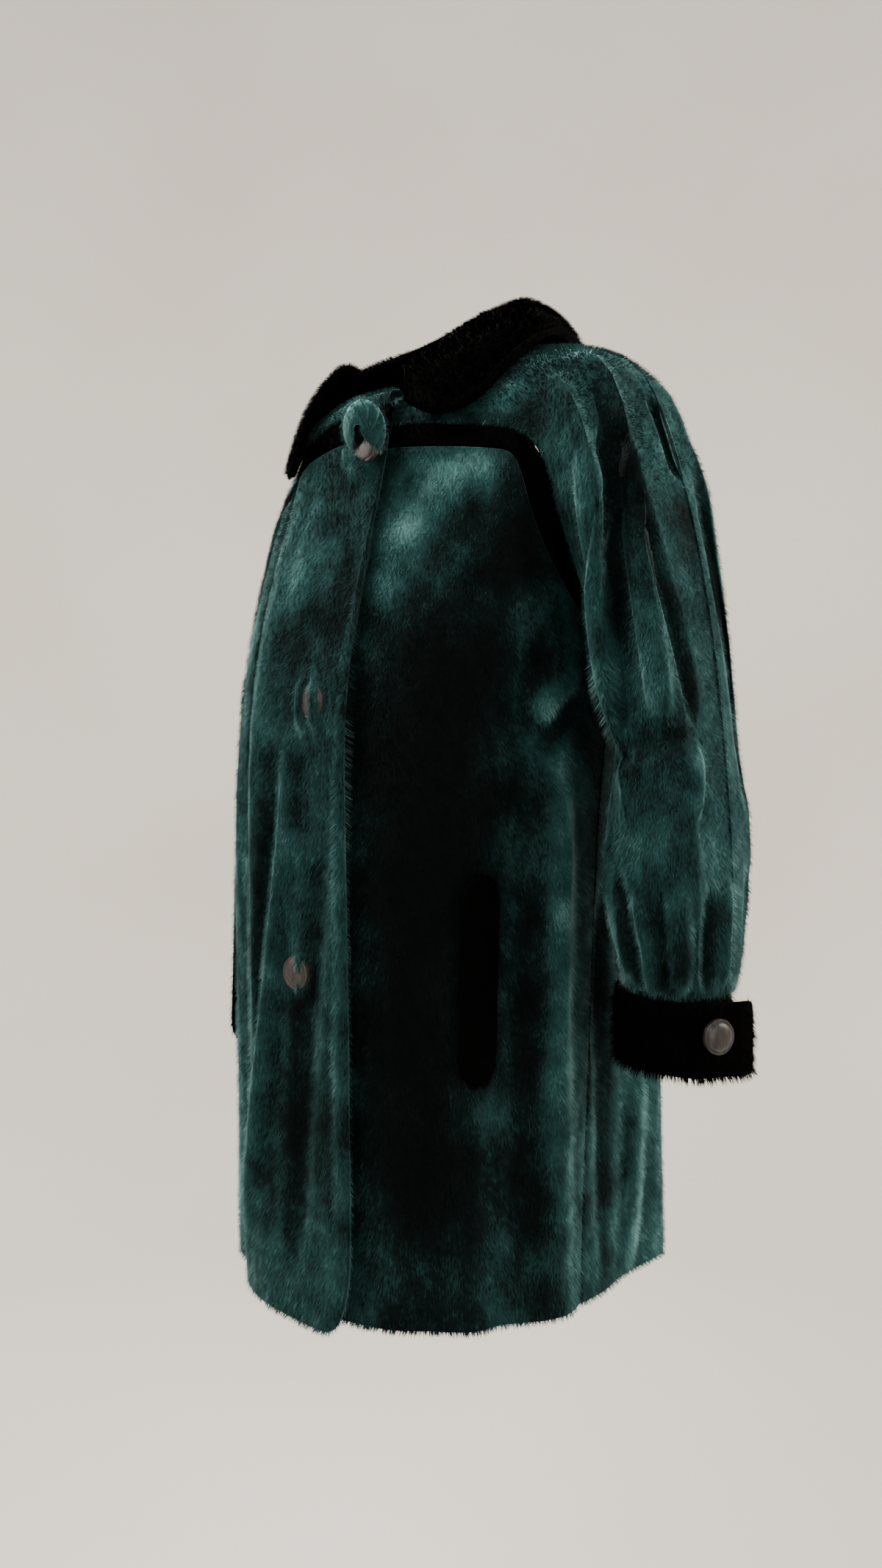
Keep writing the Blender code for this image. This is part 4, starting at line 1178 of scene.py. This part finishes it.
NEAR_SLEEVE = ("sleeve_front_left",)
NEAR_SLEEVE_CREASES = traced(
    NEAR_SLEEVE, Side.PHOTO,
    # the two deep pleats that run down from the yoke
    (((828, 565), (831, 680), (838, 805), (844, 927), (846, 1020)), 16.0, -13.0, 0.2),
    (((836, 565), (850, 611), (866, 650), (888, 724), (908, 790), (930, 880), (946, 985)), 15.0, -12.0, 0.2),
    # the rounded lobes between them
    (((796, 600), (803, 740), (815, 880), (823, 1010)), 22.0, 9.0, 0.2),
    (((850, 680), (868, 800), (886, 900), (900, 985)), 20.0, 9.0, 0.2),
    (((883, 534), (904, 575), (926, 650)), 12.0, -9.0),
    # where the lobes end above the full lower sleeve
    (((806, 1048), (828, 1040), (846, 1022), (870, 1004), (905, 1000), (946, 990)), 15.0, -9.0),
    (((948, 1010), (952, 1060), (946, 1120)), 13.0, 6.0),
    # gathers above the cuff
    (((838, 1180), (850, 1270), (872, 1350)), 12.0, -8.0),
    (((862, 1210), (878, 1290), (893, 1358)), 10.0, 6.0),
    (((894, 1190), (900, 1280), (906, 1352)), 10.0, -9.0),
    (((925, 1200), (930, 1290), (935, 1362)), 12.0, 6.0),
    (((968, 1200), (966, 1290), (962, 1352)), 11.0, -8.0),
    (((992, 1190), (990, 1270), (985, 1345)), 12.0, 5.0),
)
SLEEVE_LOCKS = traced(
    NEAR_SLEEVE, Side.PHOTO,
    (((800, 880), (812, 940), (826, 1030)), 20.0, 1.0),
)
RIGHT_FRONT = ("front_right",)
RIGHT_FRONT_CREASES = traced(
    RIGHT_FRONT, Side.PHOTO,
    (((398, 980), (384, 1100), (362, 1300), (350, 1500), (334, 1740)), 17.0, 9.0),
    (((378, 1040), (364, 1180), (350, 1330), (340, 1500)), 13.0, -10.0),
    (((440, 1120), (424, 1300), (410, 1500), (398, 1740)), 20.0, -6.0),
    (((448, 660), (420, 760), (404, 860)), 24.0, 5.0),
    (((490, 700), (468, 800), (452, 900)), 20.0, -4.0),
    # the slits from which the middle and hip buttons show
    (((424, 912), (432, 955), (424, 1000)), 8.5, 10.0, 0.3),
    (((416, 912), (409, 955), (416, 1000)), 8.5, 9.0, 0.3),
    (((404, 1284), (413, 1322), (404, 1360)), 8.5, 10.0, 0.3),
    # the fur that hangs over the top button
    (((466, 606), (484, 630), (506, 650)), 12.0, 9.0, 0.3),
    # the placket's soft edge
    (((492, 800), (474, 960), (464, 1150), (463, 1400), (461, 1700)), 12.0, 3.0),
) + traced(
    RIGHT_FRONT, Side.RIGHT,
    (((-60, -240), (-66, -420), (-58, -600), (-64, -770)), 24.0, 7.0),
    (((-105, -330), (-98, -520), (-108, -770)), 20.0, -7.0),
)
PLACKET_LOCKS = traced(
    RIGHT_FRONT, Side.PHOTO,
    (((486, 830), (470, 960), (462, 1100), (460, 1260)), 9.0, 1.0),
)
LEFT_FRONT = ("front_left",)
LEFT_FRONT_CREASES = traced(
    LEFT_FRONT, Side.PHOTO,
    # folds that run from under the arm
    (((790, 905), (764, 940), (735, 985)), 14.0, 8.0),
    (((786, 950), (757, 985), (742, 1030)), 12.0, -8.0),
    (((745, 860), (722, 930), (716, 1010)), 16.0, -5.0),
    (((764, 960), (768, 1120), (762, 1350), (760, 1600), (764, 1780)), 22.0, 9.0),
    (((722, 1080), (716, 1300), (712, 1560), (716, 1790)), 22.0, -7.0),
    (((560, 1250), (566, 1450), (572, 1780)), 26.0, -4.0),
    (((700, 690), (640, 740), (590, 800)), 30.0, 3.0),
)
BACK = ("back",)
BACK_CREASES = traced(
    BACK, Side.BACK,
    (((-18, -190), (-10, -360), (-22, -560), (-12, -770)), 26.0, -8.0),
    (((-78, -150), (-92, -330), (-86, -560), (-98, -770)), 24.0, 8.0),
    (((-122, -260), (-128, -480), (-120, -770)), 18.0, -8.0),
    (((58, -170), (66, -380), (58, -600), (70, -770)), 22.0, 8.0),
    (((104, -220), (98, -430), (110, -620), (104, -770)), 20.0, -9.0),
    (((-150, -140), (-110, -170), (-70, -190)), 16.0, 5.0),
    (((148, -150), (112, -185), (80, -200)), 15.0, -5.0),
) + traced(
    BACK, Side.PHOTO,
    (((826, 1180), (818, 1320), (824, 1500), (820, 1780)), 20.0, -8.0),
    (((866, 1440), (862, 1560), (870, 1770)), 20.0, 7.0),
)
BACK_SLEEVE_LEFT = ("sleeve_back_left",)
BACK_SLEEVE_LEFT_CREASES = traced(
    BACK_SLEEVE_LEFT, Side.BACK,
    (((-190, -60), (-206, -170), (-214, -300), (-222, -390)), 13.0, -18.0),
    (((-220, -80), (-240, -200), (-250, -330)), 16.0, 8.0),
    (((-120, -30), (-160, -110), (-186, -210)), 18.0, -7.0),
    (((-216, -430), (-220, -470), (-222, -512)), 10.0, -7.0),
    (((-250, -430), (-252, -470), (-250, -514)), 10.0, 6.0),
) + traced(
    BACK_SLEEVE_LEFT, Side.LEFT,
    (((30, -110), (26, -240), (18, -380)), 14.0, -12.0),
    (((14, -420), (12, -470), (14, -515)), 9.0, -7.0),
)
RIGHT_SLEEVES = ("sleeve_front_right", "sleeve_back_right")
RIGHT_SLEEVE_CREASES = traced(
    RIGHT_SLEEVES, Side.RIGHT,
    (((-20, -70), (-16, -200), (-34, -330), (-40, -400)), 13.0, -18.0),
    (((4, -90), (0, -220), (-6, -360)), 16.0, 8.0),
) + traced(
    RIGHT_SLEEVES, Side.FRONT,
    (((-150, -50), (-186, -130), (-208, -240), (-222, -360)), 14.0, -16.0),
    (((-226, -420), (-228, -470), (-226, -515)), 10.0, -7.0),
    (((-254, -420), (-256, -470), (-252, -515)), 10.0, 6.0),
) + traced(
    RIGHT_SLEEVES, Side.BACK,
    (((190, -70), (208, -180), (218, -300), (226, -390)), 13.0, -16.0),
    (((226, -90), (246, -210), (254, -340)), 16.0, 8.0),
) + traced(
    RIGHT_SLEEVES, Side.RIGHT,
    (((-60, -420), (-58, -470), (-60, -515)), 10.0, -7.0),
)
COLLAR = ("collar",)
COLLAR_CREASES = traced(
    COLLAR, Side.PHOTO,
    # the soft crease across the plump near wing
    (((600, 540), (640, 515), (690, 470), (730, 440)), 15.0, -3.5),
    (((580, 500), (640, 470), (700, 430)), 18.0, 3.0),
    (((500, 510), (466, 560), (440, 620)), 14.0, 3.0),
) + traced(
    COLLAR, Side.BACK,
    (((-50, 40), (0, 52), (50, 42)), 14.0, -3.0),
)
ROLL = ("front_roll",)
ROLL_CREASES = traced(
    ROLL, Side.PHOTO,
    (((503, 592), (494, 572), (486, 555)), 4.5, -4.0),
    (((504, 590), (506, 568), (505, 548)), 4.5, -4.0),
    (((506, 592), (518, 576), (524, 560)), 4.5, -3.5),
    (((500, 594), (486, 584), (478, 574)), 4.5, -3.5),
)
LEFT_FRONT_NAP_AND_PAINTED_LIGHT = (
    # the pale patch on the chest, cut off by a slanting edge: painted light where the chest faces up to the
    # light, partly the nap
    NapAndPaintedLightPatch(600, 650, 34.0, 0.46),
    NapAndPaintedLightPatch(545, 720, 30.0, 0.38),
    NapAndPaintedLightPatch(660, 635, 26.0, 0.34),
    NapAndPaintedLightPatch(520, 800, 22.0, 0.20),
    # painted shade over the middle of the left front, where it faces the eye, partly darker nap
    NapAndPaintedLightPatch(690, 760, 42.0, -0.16),
    NapAndPaintedLightPatch(620, 900, 52.0, -0.27),
    NapAndPaintedLightPatch(570, 1030, 66.0, -0.37),
    NapAndPaintedLightPatch(570, 1220, 74.0, -0.40),
    NapAndPaintedLightPatch(560, 1420, 70.0, -0.38),
    NapAndPaintedLightPatch(570, 1600, 60.0, -0.28),
    # painted light along the fold under the arm and painted light and shade lower down, partly the nap
    NapAndPaintedLightPatch(764, 1040, 26.0, 0.20),
    NapAndPaintedLightPatch(762, 1240, 26.0, 0.16),
    NapAndPaintedLightPatch(755, 1480, 30.0, 0.02),
    NapAndPaintedLightPatch(640, 1740, 30.0, -0.05),
    NapAndPaintedLightPatch(740, 960, 18.0, 0.24),
)
# painted light and shade on the right front, partly the nap
RIGHT_FRONT_NAP_AND_PAINTED_LIGHT = (
    NapAndPaintedLightPatch(440, 760, 36.0, 0.18),
    NapAndPaintedLightPatch(370, 860, 32.0, 0.04),
    NapAndPaintedLightPatch(366, 1330, 22.0, 0.16),
    NapAndPaintedLightPatch(420, 1520, 46.0, -0.20),
    NapAndPaintedLightPatch(400, 1700, 40.0, -0.02),
)
# painted light and shade on the near sleeve, partly the nap, with a small painted highlight where a crease
# ends
NEAR_SLEEVE_NAP_AND_PAINTED_LIGHT = (
    NapAndPaintedLightPatch(795, 475, 18.0, 0.24),
    NapAndPaintedLightPatch(800, 700, 30.0, 0.02),
    NapAndPaintedLightPatch(806, 900, 24.0, 0.34),
    NapAndPaintedLightPatch(870, 1130, 40.0, 0.22),
    NapAndPaintedLightPatch(948, 1038, 12.0, 0.26),
    NapAndPaintedLightPatch(938, 1312, 22.0, -0.26),
    NapAndPaintedLightPatch(960, 720, 40.0, -0.12),
    NapAndPaintedLightPatch(740, 500, 30.0, -0.14),
)
CUFF_PILE = Pile(length=7.6, density=0.5, pull=0.35)


def cut_list() -> tuple[FurPanel, ...]:
    """Every fur panel of the coat, with its creases.

    Returns:
        The panels in the order of making.
    """
    return (
        FurPanel(
            "front_right", GREEN_FUR, "green_fur", (360.0, 740.0), 0.90, creases=RIGHT_FRONT_CREASES,
            nap_and_light_patches=RIGHT_FRONT_NAP_AND_PAINTED_LIGHT, pile=Pile(shaggy=PLACKET_LOCKS),
        ),
        FurPanel(
            "front_left", GREEN_FUR, "green_fur", (290.0, 700.0), 0.96, creases=LEFT_FRONT_CREASES,
            nap_and_light_patches=LEFT_FRONT_NAP_AND_PAINTED_LIGHT,
        ),
        FurPanel("back", GREEN_FUR, "green_fur", (600.0, 690.0), 0.93, creases=BACK_CREASES),
        FurPanel(
            "sleeve_front_left", GREEN_FUR, "green_fur", (260.0, 640.0), 0.70,
            creases=NEAR_SLEEVE_CREASES + BACK_SLEEVE_LEFT_CREASES,
            nap_and_light_patches=NEAR_SLEEVE_NAP_AND_PAINTED_LIGHT, pile=Pile(shaggy=SLEEVE_LOCKS), nap_and_painted_light=0.25, levels=3,
        ),
        FurPanel(
            "sleeve_back_left", GREEN_FUR, "green_fur", (260.0, 640.0), 0.67,
            creases=BACK_SLEEVE_LEFT_CREASES + NEAR_SLEEVE_CREASES,
        ),
        FurPanel(
            "sleeve_front_right", GREEN_FUR, "green_fur", (260.0, 660.0), 0.70, creases=RIGHT_SLEEVE_CREASES,
        ),
        FurPanel(
            "sleeve_back_right", GREEN_FUR, "green_fur", (260.0, 640.0), 0.67, creases=RIGHT_SLEEVE_CREASES,
        ),
        FurPanel(
            "front_roll", GREEN_FUR, "green_fur", (55.0, 62.0), 0.98, creases=ROLL_CREASES, rim=1.6,
            pile=Pile(length=5.0, pull=0.3), nap_and_painted_light=0.40,
        ),
        FurPanel("yoke_strip_left", BLACK_FUR, "black_fur", (26.0, 420.0), 0.86, rim=1.4),
        FurPanel("yoke_strip_right", BLACK_FUR, "black_fur", (26.0, 500.0), 0.88, rim=1.4),
        FurPanel(
            "collar", BLACK_FUR, "black_fur", (125.0, 620.0), 0.94, creases=COLLAR_CREASES, rim=3.2,
            fur_inside=True,
        ),
        FurPanel("cuff_left", BLACK_FUR, "black_fur", (66.0, 350.0), 0.95, pile=CUFF_PILE),
        FurPanel("cuff_right", BLACK_FUR, "black_fur", (66.0, 350.0), 0.95, pile=CUFF_PILE),
        FurPanel("pocket_welt_left", BLACK_FUR, "black_fur", (42.0, 164.0), 0.95, rim=2.8),
        FurPanel("pocket_welt_right", BLACK_FUR, "black_fur", (42.0, 164.0), 0.95, rim=2.8),
    )


def main() -> None:
    """Build the coat piece by piece, then the studio round it."""
    logging.basicConfig(level=logging.INFO, format="%(name)s: %(message)s")
    Studio().build()
    for number, panel in enumerate(cut_list()):
        panel.build(number)
    for node in ("button_top", "button_middle", "button_hip"):
        HornButton(node, GREY_HORN, dome=1.2, sunk=3.4).build()
    for node in ("button_cuff_left", "button_cuff_right"):
        HornButton(node, HORN).build()


if __name__ == "__main__":
    main()
